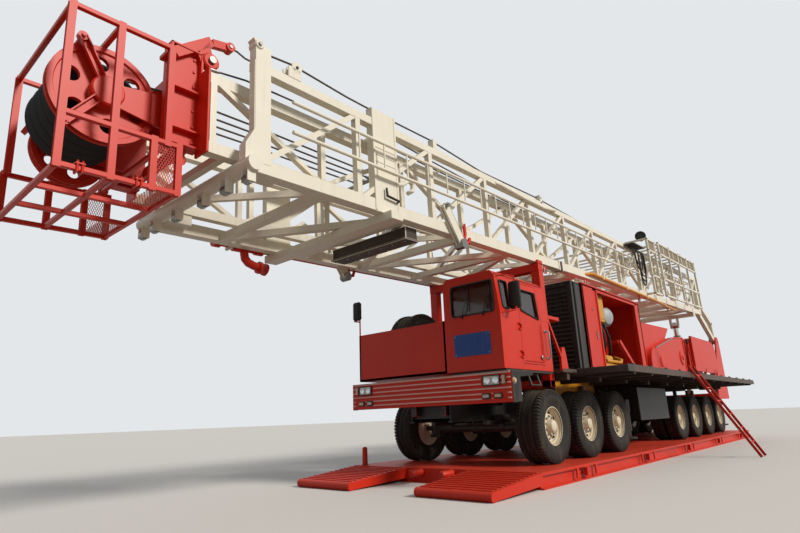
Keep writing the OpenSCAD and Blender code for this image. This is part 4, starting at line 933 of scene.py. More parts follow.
cleaner, cleaner_axis = (2.36, 1.12, 2.93), (0.25, 1, -0.1)
engine = bmesh.new()
galvanised = enamel("spun_galvanised_sheet", "#B9BDBE", "#A2A7A8", "#8A8478", rough=0.4, peel=0.3, dusty=0.3,
                    streak=0.2, metal=0.7)
plate(engine, (2.66, 0.98, 2.76), (2.98, 1.30, 3.34), 0, 0.015)
plate(engine, (2.70, 1.296, 2.82), (2.94, 1.310, 3.28), 0, 0.006)
spun(engine, [(-0.17, 0.16), (-0.155, 0.205), (-0.02, 0.22), (0, 0.225), (0.02, 0.22), (0.13, 0.20), (0.18, 0.15),
              (0.20, 0.06)], cleaner, cleaner_axis, 32, 2)
pin(engine, -0.40, -0.15, 0.08, cleaner, cleaner_axis, 20, 1)
for k in range(6):
    x = 1.52 + k * 0.34
    for side in (-1, 1):
        plate(engine, (x - 0.13, side * 0.33 - 0.12, 2.90), (x + 0.13, side * 0.33 + 0.12, 3.00), 0, 0.025)
        pin(engine, 0, 0.15, 0.055, (x, side * 0.47, 2.62), (0, side, 0))
        for dx in (-0.09, 0.09):
            pin(engine, 0, 0.014, 0.014, (x + dx, side * 0.33, 3.0), UP, 6, 3)
for side in (-1, 1):
    tube(engine, [(1.40, side * 0.62, 2.62), (3.30, side * 0.62, 2.62)], 0.075, 0, 20)
    pin(engine, -0.02, 0.02, 0.10, (1.40, side * 0.62, 2.62), AHEAD, 20)
    for x in (2.10, 2.40):
        spun(engine, [(0, 0.10), (0.30, 0.10), (0.32, 0.06)], (x, side * 0.56, 2.05), UP, 24)
# two yellow pipes and two black hoses down to the engine
for points, radius, slot, count in ((((2.98, 1.14, 2.72), (3.05, 1.20, 2.60), (3.02, 1.22, 2.42), (2.96, 1.16, 2.20),
                                      (2.90, 0.95, 2.05), (2.80, 0.50, 2.0)), 0.030, 0, 14),
                                    (((2.70, 1.18, 2.76), (2.66, 1.22, 2.55), (2.60, 1.20, 2.30), (2.42, 1.05, 2.12),
                                      (2.20, 0.50, 2.10)), 0.036, 1, 14),
                                    (((2.52, 1.20, 2.76), (2.46, 1.26, 2.45), (2.34, 1.20, 2.16), (2.05, 0.90, 1.98),
                                      (1.90, 0.50, 1.95)), 0.026, 1, 12),
                                    (((2.90, 1.30, 1.96), (2.10, 1.30, 1.96), (1.95, 1.26, 2.02), (1.90, 1.10, 2.10)),
                                     0.034, 0, 14)):
    tube(engine, points, radius, slot, count)
plate(engine, (2.20, 1.06, 1.78), (3.06, 1.34, 1.90), 0, 0.02)
plate(engine, (2.50, 1.02, 1.90), (2.86, 1.30, 2.08), 0, 0.03)
fit(engine, "engine_parts_and_air_cleaner", "carrier", engine_enamel, hose_black, galvanised, bare_steel,
    slot="engine_yellow")

lining = bmesh.new()
for side in (-1, 1):
    # folded lips round the open side, door posts and the diagonal stay
    for low, high in (((bay_x0 - 0.03, 1.395, 1.76), (bay_x0 + 0.02, 1.42, bay_top)),
                      ((bay_x1 - 0.02, 1.395, 1.76), (bay_x1 + 0.03, 1.42, bay_top)),
                      ((bay_x0 - 0.03, 1.395, bay_top - 0.02), (bay_x1 + 0.03, 1.42, bay_top + 0.03)),
                      ((housing_x0, 1.395, housing_top - 0.03), (housing_x1, 1.412, housing_top + 0.004))):
        plate(lining, low, high, 0, 0.004, side)
    bar(lining, (2.05, side * 1.30, 2.42), (1.10, side * 1.30, 1.74), 0.075, 0.075, 0, 0.006)
    bar(lining, (2.05, side * 1.30, 2.40), (2.05, side * 0.45, 2.40), 0.07, 0.07, 0, 0.006)
    for x in (1.28, 1.72):
        plate(lining, (x - 0.02, side * 0.72 - 0.012, 1.74), (x + 0.02, side * 0.72 + 0.012, 3.35), 0, 0.004)
    plate(lining, (1.10, side * 0.70 - 0.006, 1.74), (1.95, side * 0.70 + 0.006, 3.35), 0, 0.002)
    spun(lining, [(0, 0.028), (0.01, 0.026), (0.012, 0.012), (0.020, 0.010)], (3.52, side * 1.40, 2.92),
         (0, side, 0), 16, 1)
    plate(lining, (3.40, side * 1.405 - 0.008, 2.34), (3.46, side * 1.405 + 0.008, 2.50), 1, 0.004)
fit(lining, "engine_housing_lips_and_stays", "carrier", red_enamel, bare_steel, slot="red_paint")

# Drawworks trim: flanges, bosses, bolts and rolled joint straps on the red
# covers, with the driller's steel brake lever and its rubber grip, turned oil
# fillers and bent lifting eyes on the hood.
def bolt_head(across, tall):
    bolt = bmesh.new()
    spun(bolt, [(0, across * 0.75), (tall * 0.2, across * 0.75), (tall * 0.2, across * 0.58),
                (tall * 0.9, across * 0.58), (tall, across * 0.48)], (0, 0, 0), UP, 6)
    return pattern_part(bolt, "bolt_head")


covers = bmesh.new()
cover_bolt = bolt_head(0.030, 0.018)
for side in (-1, 1):
    # chain case: a rim strip round its edge, a round boss, and bolts along it
    for a, b in (((-0.04, 1.74), (-2.54, 1.74)), ((-2.54, 1.74), (-2.60, 2.86)), ((-2.60, 2.86), (-1.66, 2.79)),
                 ((-1.66, 2.79), (-0.10, 2.42))):
        bar(covers, (a[0], side * 1.405, a[1]), (b[0], side * 1.405, b[1]), 0.022, 0.035, 0, 0.004,
            upward=UP if abs(a[0] - b[0]) > 0.2 else AHEAD)
    take_in(covers, patterned("row", cover_bolt, 14, (0.178, 0, 0), bare_steel),
            Matrix.Translation((-2.44, side * 1.416, 1.74)) @ Matrix.Rotation(-side * pi / 2, 4, "X"), 1)
    turned(covers, [(0, 0), (0, 0.20), (0.016, 0.20), (0.024, 0.18), (0.026, 0.07), (0.05, 0.06), (0.052, 0)],
           (main_drum[0], side * 1.40, main_drum[2]), (0, side, 0), 32)
    turned(covers, [(0, 0), (0, 0.13), (0.016, 0.13), (0.022, 0.11), (0.024, 0)], (-0.46, side * 1.40, 2.10),
           (0, side, 0), 28)
    # drum cover: end flange, rolled joint straps and lifting eye
    turned(covers, [(-0.01, 0.40), (-0.01, 0.655), (0.012, 0.655), (0.014, 0.40)],
           (rear_drum[0], side * 1.318, rear_drum[2]), (0, side, 0), closed=True)
    turned(covers, [(0, 0), (0, 0.12), (0.018, 0.12), (0.026, 0.10), (0.028, 0)],
           (rear_drum[0], side * 1.322, rear_drum[2]), (0, side, 0), 28)
for y in (-0.95, -0.3, 0.3, 0.95):
    band(covers, -0.03, 0.03, 0.630, 0.652, (rear_drum[0], y, rear_drum[2]))
for y in (-0.9, 0.9):
    tube(covers, [(-0.30, y - 0.05, 2.99), (-0.30, y - 0.05, 3.07), (-0.30, y + 0.05, 3.07), (-0.30, y + 0.05, 2.99)],
         0.012, 0, 8)
    spun(covers, [(0, 0.05), (0.07, 0.05), (0.075, 0.062), (0.10, 0.062), (0.105, 0.05)], (0.30, y, 3.0), UP, 20, 1)
# driller's brake lever with its bracket on the left
bar(covers, (-3.30, 1.385, 1.72), (-3.30, 1.385, 1.95), 0.10, 0.06, 0, 0.006, upward=AHEAD)
tube(covers, [(-3.30, 1.385, 1.90), (-3.22, 1.39, 2.30), (-3.10, 1.39, 2.75)], 0.018, 0, 10)
spun(covers, [(0, 0.022), (0.02, 0.026), (0.13, 0.026), (0.15, 0.018)], (-3.10, 1.39, 2.73), (0.25, 0, 1), 16, 2)
bpy.data.objects.remove(cover_bolt)
fit(covers, "drawworks_covers_trim", "carrier", red_enamel, bare_steel, rubber, slot="red_paint")

# Walkways: worn planking of rolled tread plate, parted by shadow lines, on
# channel bearers. A folded strip runs along the outer edge, with small grey
# clamps on it, and a plate closes the front end.
for side, name in ((1, "left"), (-1, "right")):
    bm = bmesh.new()
    for i in range(5):
        inner = 1.512 + 0.173 * i
        plate(bm, (-5.79, inner, 1.700), (4.84, inner + 0.160, 1.706), 0, 0.002, side)
    plate(bm, (-5.80, 2.367, 1.595), (4.85, 2.3835, 1.712), 1, 0.003, side)
    plate(bm, (4.595, 1.506, 1.62), (4.85, 2.370, 1.698), 1, 0.003, side)
    for i in range(12):
        x = -5.4 + 0.9 * i
        plate(bm, (x - 0.03, 1.53, 1.560), (x + 0.03, 2.36, 1.600), 1, 0.003, side)
        pin(bm, -0.04, 0.04, 0.028, (x, side * 2.350, 1.712), AHEAD, 12, 1)
    fit(bm, f"walkway_planks_{name}", f"walkway_{name}", deck_paint, grey_enamel, slot="deck_brown")

# Lower mast section: welded lattice of square tube in ivory enamel. On it ride
# the portal's pin bosses and line rollers, rope guide, ribbed panel, locking
# lever with its red hook, chord splices, lifting lugs and a yellow air pipe.
pipe_yellow = enamel("yellow_pipe_enamel", "#D98E22", "#C9821C", "#8A6A3C", rough=0.4, dusty=0.3, streak=0.2)
# dark brown for the splice's dark joint and the hose bracket, and painted shade on the channel under the mast
joint_and_shade_brown = enamel("brown_primed_steel", "#4A4038", "#3D342D", "#6F5F4E", rough=0.6, dusty=0.3, streak=0.3)
gear = bmesh.new()
standpipe = (-1.29, 0.89)
for side in (-1, 1):
    y = side * 1.145
    portal_pin, rope_guide = (19.0, y, 2.30), (18.50, y, 2.25)
    # portal pin bosses, and the rope guide on the top chord
    spun(gear, [(-0.075, 0.045), (-0.062, 0.055), (0.062, 0.055), (0.075, 0.045)], portal_pin, ACROSS, 24)
    pin(gear, -0.095, 0.095, 0.022, portal_pin, ACROSS, 16, 3)
    for dy in (-0.062, 0.040):
        plate(gear, (18.44, y + dy, 2.09), (18.62, y + dy + 0.022, 2.24), 0, 0.008)
        pin(gear, 0, 0.022, 0.07, (18.50, y + dy, 2.25), ACROSS, 24)
    spun(gear, [(-0.04, 0.055), (-0.02, 0.042), (0.02, 0.042), (0.04, 0.055)], rope_guide, ACROSS, 24, 3)
    pin(gear, -0.072, 0.072, 0.018, rope_guide, ACROSS, 12, 1)
    # pressed ribs on the portal panel, and folded edges
    for t in (1.30, 1.40, 1.50, 1.60, 1.70, 1.80):
        plate(gear, (16.88, 1.199, t - 0.012), (17.27, 1.211, t + 0.012), 0, 0.004, side)
    plate(gear, (16.85, 1.199, 0.83), (16.885, 1.211, 2.24), 0, 0.004, side)
    plate(gear, (17.265, 1.199, 0.83), (17.30, 1.211, 2.24), 0, 0.004, side)
    tube(gear, [(17.12, side * 1.235, 1.15), (17.12, side * 1.245, 1.04), (16.90, side * 1.245, 1.02),
                (16.88, side * 1.19, 1.02)], 0.014, 1, 8)
    # chord splice: two flange plates with a dark joint between them
    plate(gear, (12.20, 1.03, 0.80), (12.24, 1.214, 1.0), 0, 0.004, side)
    plate(gear, (12.06, 1.03, 0.80), (12.10, 1.214, 1.0), 0, 0.004, side)
    plate(gear, (12.10, side * 1.04, 0.812), (12.20, side * 1.206, 0.988), 2)
    # lugs that stand above the top chord, and red lifting lugs below
    plate(gear, (12.60, 1.10, 2.06), (12.68, 1.20, 2.24), 0, 0.008, side)
    pin(gear, -0.06, 0.06, 0.018, (12.64, y, 2.18), ACROSS, 12, 3)
    for s in (12.74, 10.90, 7.60, 5.20):
        plate(gear, (s - 0.05, y - 0.016, 0.67), (s + 0.05, y + 0.016, 0.84), 5, 0.008)
        pin(gear, -0.03, 0.03, 0.028, (s, y, 0.72), ACROSS, 14, 3)
    pin(gear, -0.07, 0.07, 0.05, (13.0, y, 0.755), ACROSS, 20)
    # locking lever: two flat bars from the bottom chord down to a red hook
    for dy in (0.068, 0.118):
        bar(gear, (15.92, y + side * dy, 1.22), (15.56, y + side * dy, 0.70), 0.022, 0.15, 0, 0.006, upward=AHEAD)
    pin(gear, -0.075, 0.075, 0.075, (15.56, y + side * 0.093, 0.69), ACROSS, 24, 3)
    pin(gear, -0.095, 0.095, 0.03, (15.90, y + side * 0.093, 1.20), ACROSS, 16, 3)
    tube(gear, [(15.46, side * 1.25, 1.02), (15.45, side * 1.25, 0.86), (15.48, side * 1.25, 0.79),
                (15.44, side * 1.25, 0.735), (15.37, side * 1.25, 0.745), (15.34, side * 1.25, 0.82)], 0.026, 5, 10)
    pin(gear, -0.035, 0.035, 0.04, (15.46, side * 1.22, 1.02))
    # bent guide hook beside the panel
    tube(gear, [(16.86, side * 1.14, 1.30), (16.70, side * 1.15, 1.34), (16.56, side * 1.15, 1.44),
                (16.48, side * 1.15, 1.40), (16.50, side * 1.15, 1.30), (16.60, side * 1.15, 1.24)], 0.030, 0, 10)
# rollers on the portal's cross tube, each between two ears
for s, t, y in ((19.09, 0.75, 1.17), (19.11, 0.74, 0.80), (19.09, 0.75, 0.30), (19.09, 0.75, -0.30),
                (19.11, 0.74, -0.80), (19.09, 0.75, -1.17)):
    for dy in (-0.058, 0.044):
        plate(gear, (s - 0.05, y + dy, t - 0.06), (s + 0.05, y + dy + 0.014, t + 0.09), 0, 0.004)
    pin(gear, -0.044, 0.044, 0.055, (s, y, t - 0.02), ACROSS, 20, 3)
# bolted channel across the underside, with its bolt heads; its dark brown is painted shade
plate(gear, (16.36, -0.40, 0.63), (16.60, 1.07, 0.80), 2, 0.01)
plate(gear, (16.34, -0.42, 0.615), (16.62, 1.08, 0.640), 2, 0.006)
for k in range(7):
    for s in (16.40, 16.56):
        pin(gear, 0, 0.016, 0.016, (s, -0.34 + 0.225 * k, 0.616), (0, 0, -1), 6, 3)
# crossed bent hook that hangs in the mast's middle
tube(gear, [(15.74, 0, 1.98), (15.74, 0, 1.80), (15.72, 0, 1.70), (15.65, 0, 1.66), (15.58, 0, 1.70),
            (15.57, 0, 1.78)], 0.030, 0, 10)
plate(gear, (15.68, -0.05, 1.97), (15.80, 0.05, 2.10), 0, 0.006)
# white pipe along the near top chord, and the yellow pipe along its bottom
tube(gear, [(14.30, 1.19, 2.03), (14.20, 1.235, 2.0), (13.40, 1.24, 1.965), (12.66, 1.24, 1.96), (12.20, 1.235, 2.02),
            (12.06, 1.19, 2.06)], 0.030, 0, 12)
tube(gear, [(11.0, 1.18, 0.90), (10.75, 1.25, 0.93), (8.60, 1.25, 0.85), (6.43, 1.25, 0.77), (4.88, 1.25, 0.67),
            (4.70, 1.19, 0.72)], 0.034, 4, 14)
for s, t in ((10.2, 0.91), (8.75, 0.855), (7.3, 0.80), (5.8, 0.73)):
    bar(gear, (s, 1.19, t), (s, 1.29, t), 0.04, 0.085, 0, 0.006)
# hose bracket ahead of the racking board, with a ferrule at each hose's ends
plate(gear, (7.40, 1.195, 2.045), (8.30, 1.45, 2.065), 2, 0.004)
plate(gear, (7.52, 1.09, 2.09), (7.68, 1.16, 2.22), 2, 0.01)
for s in [end for hose in hoses for end in hose[:2]]:
    spun(gear, [(0, 0.028), (0.02, 0.028), (0.03, 0.021), (0.07, 0.021)], (s, 1.195, 1.995), ACROSS, 12, 3)
# red standpipe along the right bottom chord, and its head: a flanged tee, a
# capped end and a gooseneck that turns down
for s, wide, r in ((18.02, 0.05, 0.085), (17.72, 0.03, 0.095), (17.66, 0.03, 0.095), (17.34, 0.03, 0.095),
                   (17.28, 0.03, 0.095)):
    pin(gear, -wide, wide, r, (s, *standpipe), AHEAD, 20, 5)
pin(gear, -0.17, 0.17, 0.078, (17.50, *standpipe), AHEAD, 20, 5)
tube(gear, [(17.56, *standpipe), (17.56, -1.29, 0.78), (17.545, -1.29, 0.71), (17.49, -1.29, 0.655),
            (17.40, -1.29, 0.625), (17.26, -1.29, 0.60)], 0.062, 5, 16)
for s, t in ((17.30, 0.607), (17.20, 0.59)):
    pin(gear, -0.022, 0.022, 0.095, (s, -1.29, t), (0.984, 0, 0.18), 20, 5)
pin(gear, 4.005, 18.04, 0.0585, (0, *standpipe), AHEAD, 24, 5)
plate(gear, (17.80, -1.36, 0.80), (17.84, -1.195, 0.96), 0, 0.006)
fit(gear, "mast_lower_hardware", "mast_lower", ivory_enamel, hose_black, joint_and_shade_brown, bare_steel, pipe_yellow,
    red_enamel, slot="white_paint", place=mast_place)

# Racking board: a welded frame of 50 mm square tube round a comb of fingers; its
# top band is closed with expanded metal panels, drawn as beige plates that hold
# the ivory mesh and the shade behind it as painted shade. The part behind the hinge
# folds, and the front bay with its round work lamp is bolted to the upper section.
# beige for the expanded metal: ivory darkened with painted shade between the strands
mesh_panel_and_shade = enamel("expanded_metal_panel", "#A89A86", "#978A76", "#7D6F5C", rough=0.55, dusty=0.3, streak=0.3)


def guarded(s0, s1, posts, panels, half):
    bm = bmesh.new()
    for side in (-1, 1):
        y = side * half
        for t in (0.925, 1.40, 2.10, 2.41):
            bar(bm, (s0, y, t), (s1, y, t), 0.05, 0.05, 0, 0.005)
        for s in posts:
            bar(bm, (s, y, 0.90), (s, y, 2.435), 0.05, 0.05, 0, 0.005, upward=AHEAD)
        for s in panels:
            # expanded metal: a beige plate and strands, ivory darkened with painted shade
            plate(bm, (s + 0.035, side * (half - 0.020), 2.14), (s + 0.455, side * (half - 0.008), 2.375), 1)
            plate(bm, (s - 0.018, y - side * 0.005 - 0.012, 2.12), (s + 0.018, y - side * 0.005 + 0.012, 2.39), 0,
                  0.004)
            for i in range(5):
                bar(bm, (s + 0.05 + 0.08 * i, y - side * 0.006, 2.15), (s + 0.11 + 0.08 * i, y - side * 0.006, 2.365),
                    0.006, 0.010, 1, 0, upward=AHEAD)
    return bm


board = guarded(2.5, 6.27, [2.525 + 0.93 * i for i in range(5)], [2.56 + 0.46 * k for k in range(8)], 1.455)
for side in (-1, 1):
    for s in (2.9, 4.1, 5.3):
        pin(board, -0.06, 0.06, 0.022, (s, side * 1.462, 2.43), AHEAD, 14, 2)
for k in range(9):
    bar(board, (2.525 + 0.45 * k, -1.44, 2.41), (2.525 + 0.45 * k, 1.44, 2.41), 0.05, 0.04, 0, 0.004)
pin(board, -1.48, 1.48, 0.03, (6.30, 0, 2.36), ACROSS, 20)
fit(board, "racking_board_frame", "racking_board", ivory_enamel, mesh_panel_and_shade, bare_steel, slot="white_paint",
    instead_of="racking_board", place=mast_place)
front_bay = guarded(6.36, 7.02, (6.385, 6.995), (6.42,), 1.395)
for t in (0.925, 2.41):
    bar(front_bay, (6.995, -1.38, t), (6.995, 1.38, t), 0.05, 0.05, 0, 0.005)
spun(front_bay, [(-0.05, 0.07), (-0.03, 0.12), (0.05, 0.14), (0.07, 0.14), (0.07, 0.125), (0.045, 0.115)],
     (6.92, 1.24, 2.52), (1, 0.35, -0.1), 24, 3)
bar(front_bay, (6.85, 1.24, 2.40), (6.85, 1.24, 2.52), 0.04, 0.04, 0, 0.004, upward=AHEAD)
fit(front_bay, "racking_board_front_bay_and_lamp", "mast_upper", ivory_enamel, mesh_panel_and_shade, bare_steel, black_paint_and_shade,
    slot="white_paint", place=mast_place)

# Lower mast section's trusses and floor: ivory enamelled square tube, welded. The
# diagonals all rise rearwards, posts stand at 1.46 m, and the front ends in a
# portal whose cross tube the upper section's lines run over.
def web(bm, a, b, wide, y0, y1, slot=0):
    middle = (y0 + y1) / 2
    bar(bm, (a[0], middle, a[1]), (b[0], middle, b[1]), wide, abs(y1 - y0), slot, 0, upward=ACROSS)


posts, chord_low, chord_top = 13, 0.90, 2.045
first_post, last_post = 1.54, 19.01
bay = (last_post - first_post) / (posts - 1)
trusses = bmesh.new()
for side in (-1, 1):
    for low, high in (((1.5, 1.04, 0.82), (19.05, 1.20, 0.98)), ((1.5, 1.09, 1.99), (19.05, 1.20, 2.10)),
                      ((1.496, 1.038, 0.818), (1.64, 1.202, 2.102)), ((18.63, 0.84, 0.87), (18.93, 1.06, 1.0095)),
                      ((16.85, 1.10, 0.816), (17.30, 1.203, 2.25)), ((15.91, 1.10, 2.09), (16.0, 1.198, 2.25))):
        plate(trusses, low, high, 0, 0.004, side)
    for i in range(posts):
        web(trusses, (first_post + i * bay, chord_low), (first_post + i * bay, chord_top), 0.08, side * 1.12,
            side * 1.198)
    for i in range(posts - 1):
        web(trusses, (first_post + i * bay, chord_top), (first_post + (i + 1) * bay, chord_low), 0.064, side * 1.124,
            side * 1.194)
    # leg down to the foot pin, in flat bars round its open middle
    for a, b, wide in (((0, -0.02), (1.60, 0.90), 0.17), ((-0.02, 0), (0.10, 0.66), 0.17),
                       ((0.05, 0.64), (1.60, 1.37), 0.15), ((0, -0.09), (0, 0.10), 0.14)):
        web(trusses, a, b, wide, side * 1.04, side * 1.16)
    prism(trusses, [(18.85, 0.93), (19.15, 0.93), (19.15, 1.10), (19.04, 1.30), (19.04, 2.31), (19.07, 2.355),
                    (18.99, 2.36), (18.94, 2.31), (18.85, 2.31)], side * 1.088, side * 1.203)
pin(trusses, -1.27, 1.27, 0.085, (19.07, 0, 0.89), ACROSS, 32)
fit(trusses, "mast_lower_trusses_and_portal", "mast_lower", ivory_enamel, slot="white_paint",
    instead_of="mast_lower_sides", place=mast_place)

first_bar, last_bar, floor_t = 1.62, 18.05, 0.87
bay = (last_bar - first_bar) / (posts - 1)
bracing = bmesh.new()
for i in range(posts):
    bar(bracing, (first_bar + i * bay, -1.0385, floor_t), (first_bar + i * bay, 1.0385, floor_t), 0.12, 0.10)
for i in range(posts - 1):
    s = 1 if i % 2 == 0 else -1
    bar(bracing, (first_bar + i * bay + 0.02, -s * 1.03, floor_t),
        (first_bar + (i + 1) * bay - 0.02, s * 1.03, floor_t), 0.096, 0.092)
plate(bracing, (2.366, -1.20, 0.71), (2.606, 1.20, 0.8197), 0, 0.005)
plate(bracing, (16.95, -1.34, 0.71), (17.17, 1.34, 0.8197), 0, 0.005)
for y in (-0.67, -0.45, 0.45, 0.67):
    prism(bracing, [(2.366, 0.72), (2.606, 0.72), (2.556, 0.388), (2.416, 0.388)], y - 0.015, y + 0.015)
fit(bracing, "mast_lower_bracing", "mast_lower", ivory_enamel, slot="white_paint", instead_of="mast_lower_floor",
    place=mast_place)


# Crown block: plate girders in gloss red enamel that carry the sheaves' shafts,
# with guard arms over the end sheave's rim, the winch line's arm and padeyes.
# The cast steel sheaves have a turned rope groove, a rim and six round holes.
shaft_s, shaft_t = 20.24, 1.48
fast_s, fast_t = 20.19, 1.27
shaft, fast_shaft = (shaft_s, 0, shaft_t), (fast_s, 0, fast_t)
girders = bmesh.new()
for side in (-1, 1):
    for low, high in (((19.40, 0.62, 1.08), (19.425, 0.78, 2.20)), ((19.725, 0.62, 1.08), (19.75, 0.78, 2.20)),
                      ((19.40, 0.69, 1.08), (19.75, 0.71, 2.20)), ((19.40, 0.62, 1.08), (19.75, 0.78, 1.10)),
                      ((19.40, 0.62, 1.25), (19.75, 0.78, 1.27)), ((19.40, 0.62, 1.70), (19.75, 0.78, 1.72)),
                      ((19.40, 0.62, 2.18), (19.75, 0.78, 2.20)), ((19.40, 0.70, 1.01), (19.425, 0.94, 1.96)),
                      ((19.725, 0.66, 0.975), (19.75, 0.74, 1.09))):
        plate(girders, low, high, 0, 0.003, side)
    prism(girders, [(19.42, 2.19), (19.58, 2.19), (19.55, 2.26), (19.45, 2.26)], side * 0.68, side * 0.72)
    band(girders, side * 0.68, side * 0.72, 0.025, 0.055, (19.50, 0, 2.275), ACROSS, 24)
    # bolts down the girder's outer flanges
    for z in (1.16, 1.34, 1.52, 1.80, 1.98, 2.12):
        for x in (19.47, 19.68):
            spun(girders, [(0, 0.016), (0.014, 0.014)], (x, side * 0.71, z), (0, side, 0), 6)
plate(girders, (19.40, -0.70, 1.99), (19.55, 0.70, 2.11), 0, 0.004)
for z in (1.15, 1.75):
    plate(girders, (19.40, -0.70, z), (19.47, 0.70, z + 0.12), 0, 0.004)
for y, z in ((0.383, shaft_t), (-0.383, fast_t)):
    prism(girders, [(19.46, 1.15), (20.22, z - 0.10), (20.22, z + 0.10), (19.96, 1.73), (19.46, 1.87)],
          y - 0.0125, y + 0.0125)
    pin(girders, y - 0.0125, y + 0.0125, 0.11, (20.22, 0, z), ACROSS, 32)
prism(girders, [(19.46, 1.25), (shaft_s, shaft_t - 0.10), (shaft_s, shaft_t + 0.10), (19.46, 1.70)], 0.5475, 0.5725)
turned(girders, [(0.5465, 0), (0.5465, 0.150), (0.60, 0.150), (0.615, 0.135), (0.622, 0)], shaft, ACROSS, 40)
prism(girders, [(19.46, 1.15), (20.19, 1.17), (20.19, 1.37), (19.46, 1.38)], -0.6125, -0.5875)
spun(girders, [(-0.63, 0.09), (-0.5875, 0.105)], fast_shaft, ACROSS, 32)
for a in (62, -52):
    tip = (shaft_s + 0.535 * cos(radians(a)), shaft_t + 0.535 * sin(radians(a)))
    web(girders, (shaft_s, shaft_t), tip, 0.08, 0.5475, 0.5725)
    for off in (-0.034, 0.034):
        dx, dz = -sin(radians(a)) * off, cos(radians(a)) * off
        web(girders, (shaft_s + dx, shaft_t + dz), (tip[0] + dx, tip[1] + dz), 0.012, 0.5475, 0.612)
    pin(girders, 0.383, 0.625, 0.020, (tip[0], 0, tip[1]))
    pin(girders, 0.545, 0.60, 0.045, (tip[0], 0, tip[1]), ACROSS, 24)
# winch line's arm with its round housing and small sheave
web(girders, (19.70, 2.09), (19.31, 2.41), 0.11, 0.71, 0.77)
web(girders, (19.29, 2.405), (19.08, 2.45), 0.09, 0.71, 0.77)
prism(girders, [(19.46, 2.19), (19.34, 2.39), (19.29, 2.20), (19.41, 2.06)], 0.71, 0.77)
spun(girders, [(0.71, 0.095), (0.785, 0.095), (0.80, 0.08)], (19.32, 0, 2.15), ACROSS, 32)
pin(girders, 0.80, 0.83, 0.04, (19.32, 0, 2.15), ACROSS, 16, 1)
pin(girders, 0.69, 0.79, 0.052, (19.09, 0, 2.445), ACROSS, 24)
pin(girders, 0.68, 0.80, 0.02, (19.09, 0, 2.445), ACROSS, 12, 1)
# guard bracket over the far sheave's front, and a pulley under the near girder
web(girders, (shaft_s, 1.33), (20.55, 1.50), 0.10, -0.64, -0.615)
web(girders, (20.46, 1.62), (20.60, 1.40), 0.05, -0.64, -0.44)
pin(girders, -0.64, -0.42, 0.018, (20.52, 0, 1.60), ACROSS, 12, 1)
plate(girders, (19.50, 0.63, 0.98), (19.60, 0.655, 1.10), 0, 0.004)
spun(girders, [(0.60, 0.065), (0.63, 0.05), (0.66, 0.065)], (19.55, 0, 0.98), ACROSS, 24)
# hang-off bar for the drilling line's strands
pin(girders, -0.86, 0.86, 0.03, (16.2, 0, 1.905), ACROSS, 16, 1)
fit(girders, "crown_girders_and_guards", "mast_upper", red_enamel, bare_steel, slot="red_paint",
    instead_of="crown_frame", place=mast_place)


def sheave(radius, wide, hole_r, hole_ring, hub):
    disc = bmesh.new()
    half, thin = wide / 2, wide * 0.28
    turned(disc, [(-half, radius), (-wide * 0.30, radius - 0.006), (-wide * 0.12, radius - 0.055),
                  (wide * 0.12, radius - 0.055), (wide * 0.30, radius - 0.006), (half, radius),
                  (half, radius - 0.052), (thin, radius - 0.062), (thin, hub + 0.02), (half, hub), (half, 0.02),
                  (-half, 0.02), (-half, hub), (-thin, hub + 0.02), (-thin, radius - 0.062), (-half, radius - 0.052)],
           (0, 0, 0), ACROSS, 72, closed=True)
    for k in range(6):
        a = radians(20 + 60 * k)
        disc = cut(disc, pin, -half - 0.02, half + 0.02, hole_r, (hole_ring * cos(a), 0, hole_ring * sin(a)), ACROSS,
                   28)
    return disc


sheaves = sheave(0.49, 0.09, 0.078, 0.314, 0.13)
sheaves.transform(Matrix.Translation((shaft_s, 0.475, shaft_t)))
pin(sheaves, -0.3705, 0.50, 0.05, shaft, ACROSS, 24, 1)
for k in range(4):
    y = sheave_pitch * (k - 2)
    turned(sheaves, [(y + 0.004, 0.06), (y + 0.004, 0.43), (y + 0.058, 0.36), (y + 0.107, 0.36), (y + 0.161, 0.43),
                     (y + 0.161, 0.06)], shaft, ACROSS, 64, 2, closed=True)
band(sheaves, 0.435, 0.505, 0.437, 0.452, shaft, ACROSS, 64, 2)
fit(sheaves, "crown_sheaves_cast", "crown_sheaves", red_enamel, bare_steel, hose_black, slot="red_paint",
    instead_of="crown_sheaves", place=mast_place)
fast = sheave(0.375, 0.11, 0.060, 0.235, 0.11)
fast.transform(Matrix.Translation((fast_s, -0.50, fast_t)))
pin(fast, -0.60, -0.37, 0.04, fast_shaft, ACROSS, 24, 1)
band(fast, -0.535, -0.465, 0.322, 0.338, fast_shaft, ACROSS, 64, 2)
fit(fast, "fast_line_sheave_cast", "mast_upper", red_enamel, bare_steel, hose_black, slot="red_paint",
    place=mast_place)


# Crown cage: a guard frame of 50 mm square tube round the sheaves, closed with
# expanded metal low down at both sides and under the rear. U-bolts clamp its rails.
def mesh_sheet(bm, corner, across, upward, pitch, slot=0):
    corner, across, upward = Vector(corner), Vector(across), Vector(upward)
    wide, tall = across.length, upward.length
    outward = across.cross(upward).normalized()
    for slope in (0.5, -0.5):
        reach = slope * tall
        first = min(0, -reach)
        for k in range(int((wide + abs(reach)) / pitch) + 1):
            u0 = first + k * pitch
            low, high = 0.0, 1.0
            for edge, sign in ((0, 1), (wide, -1)):
                a, b = sign * (u0 - edge), sign * (u0 + reach - edge)
                if a < 0 and b < 0:
                    low, high = 1.0, 0.0
                elif a < 0:
                    low = max(low, a / (a - b))
                elif b < 0:
                    high = min(high, a / (a - b))
            if high - low > 0.02:
                ends = [corner + across / wide * (u0 + reach * v) + upward * v for v in (low, high)]
                bar(bm, ends[0], ends[1], 0.005, 0.004, slot, 0, upward=outward)


cage = bmesh.new()
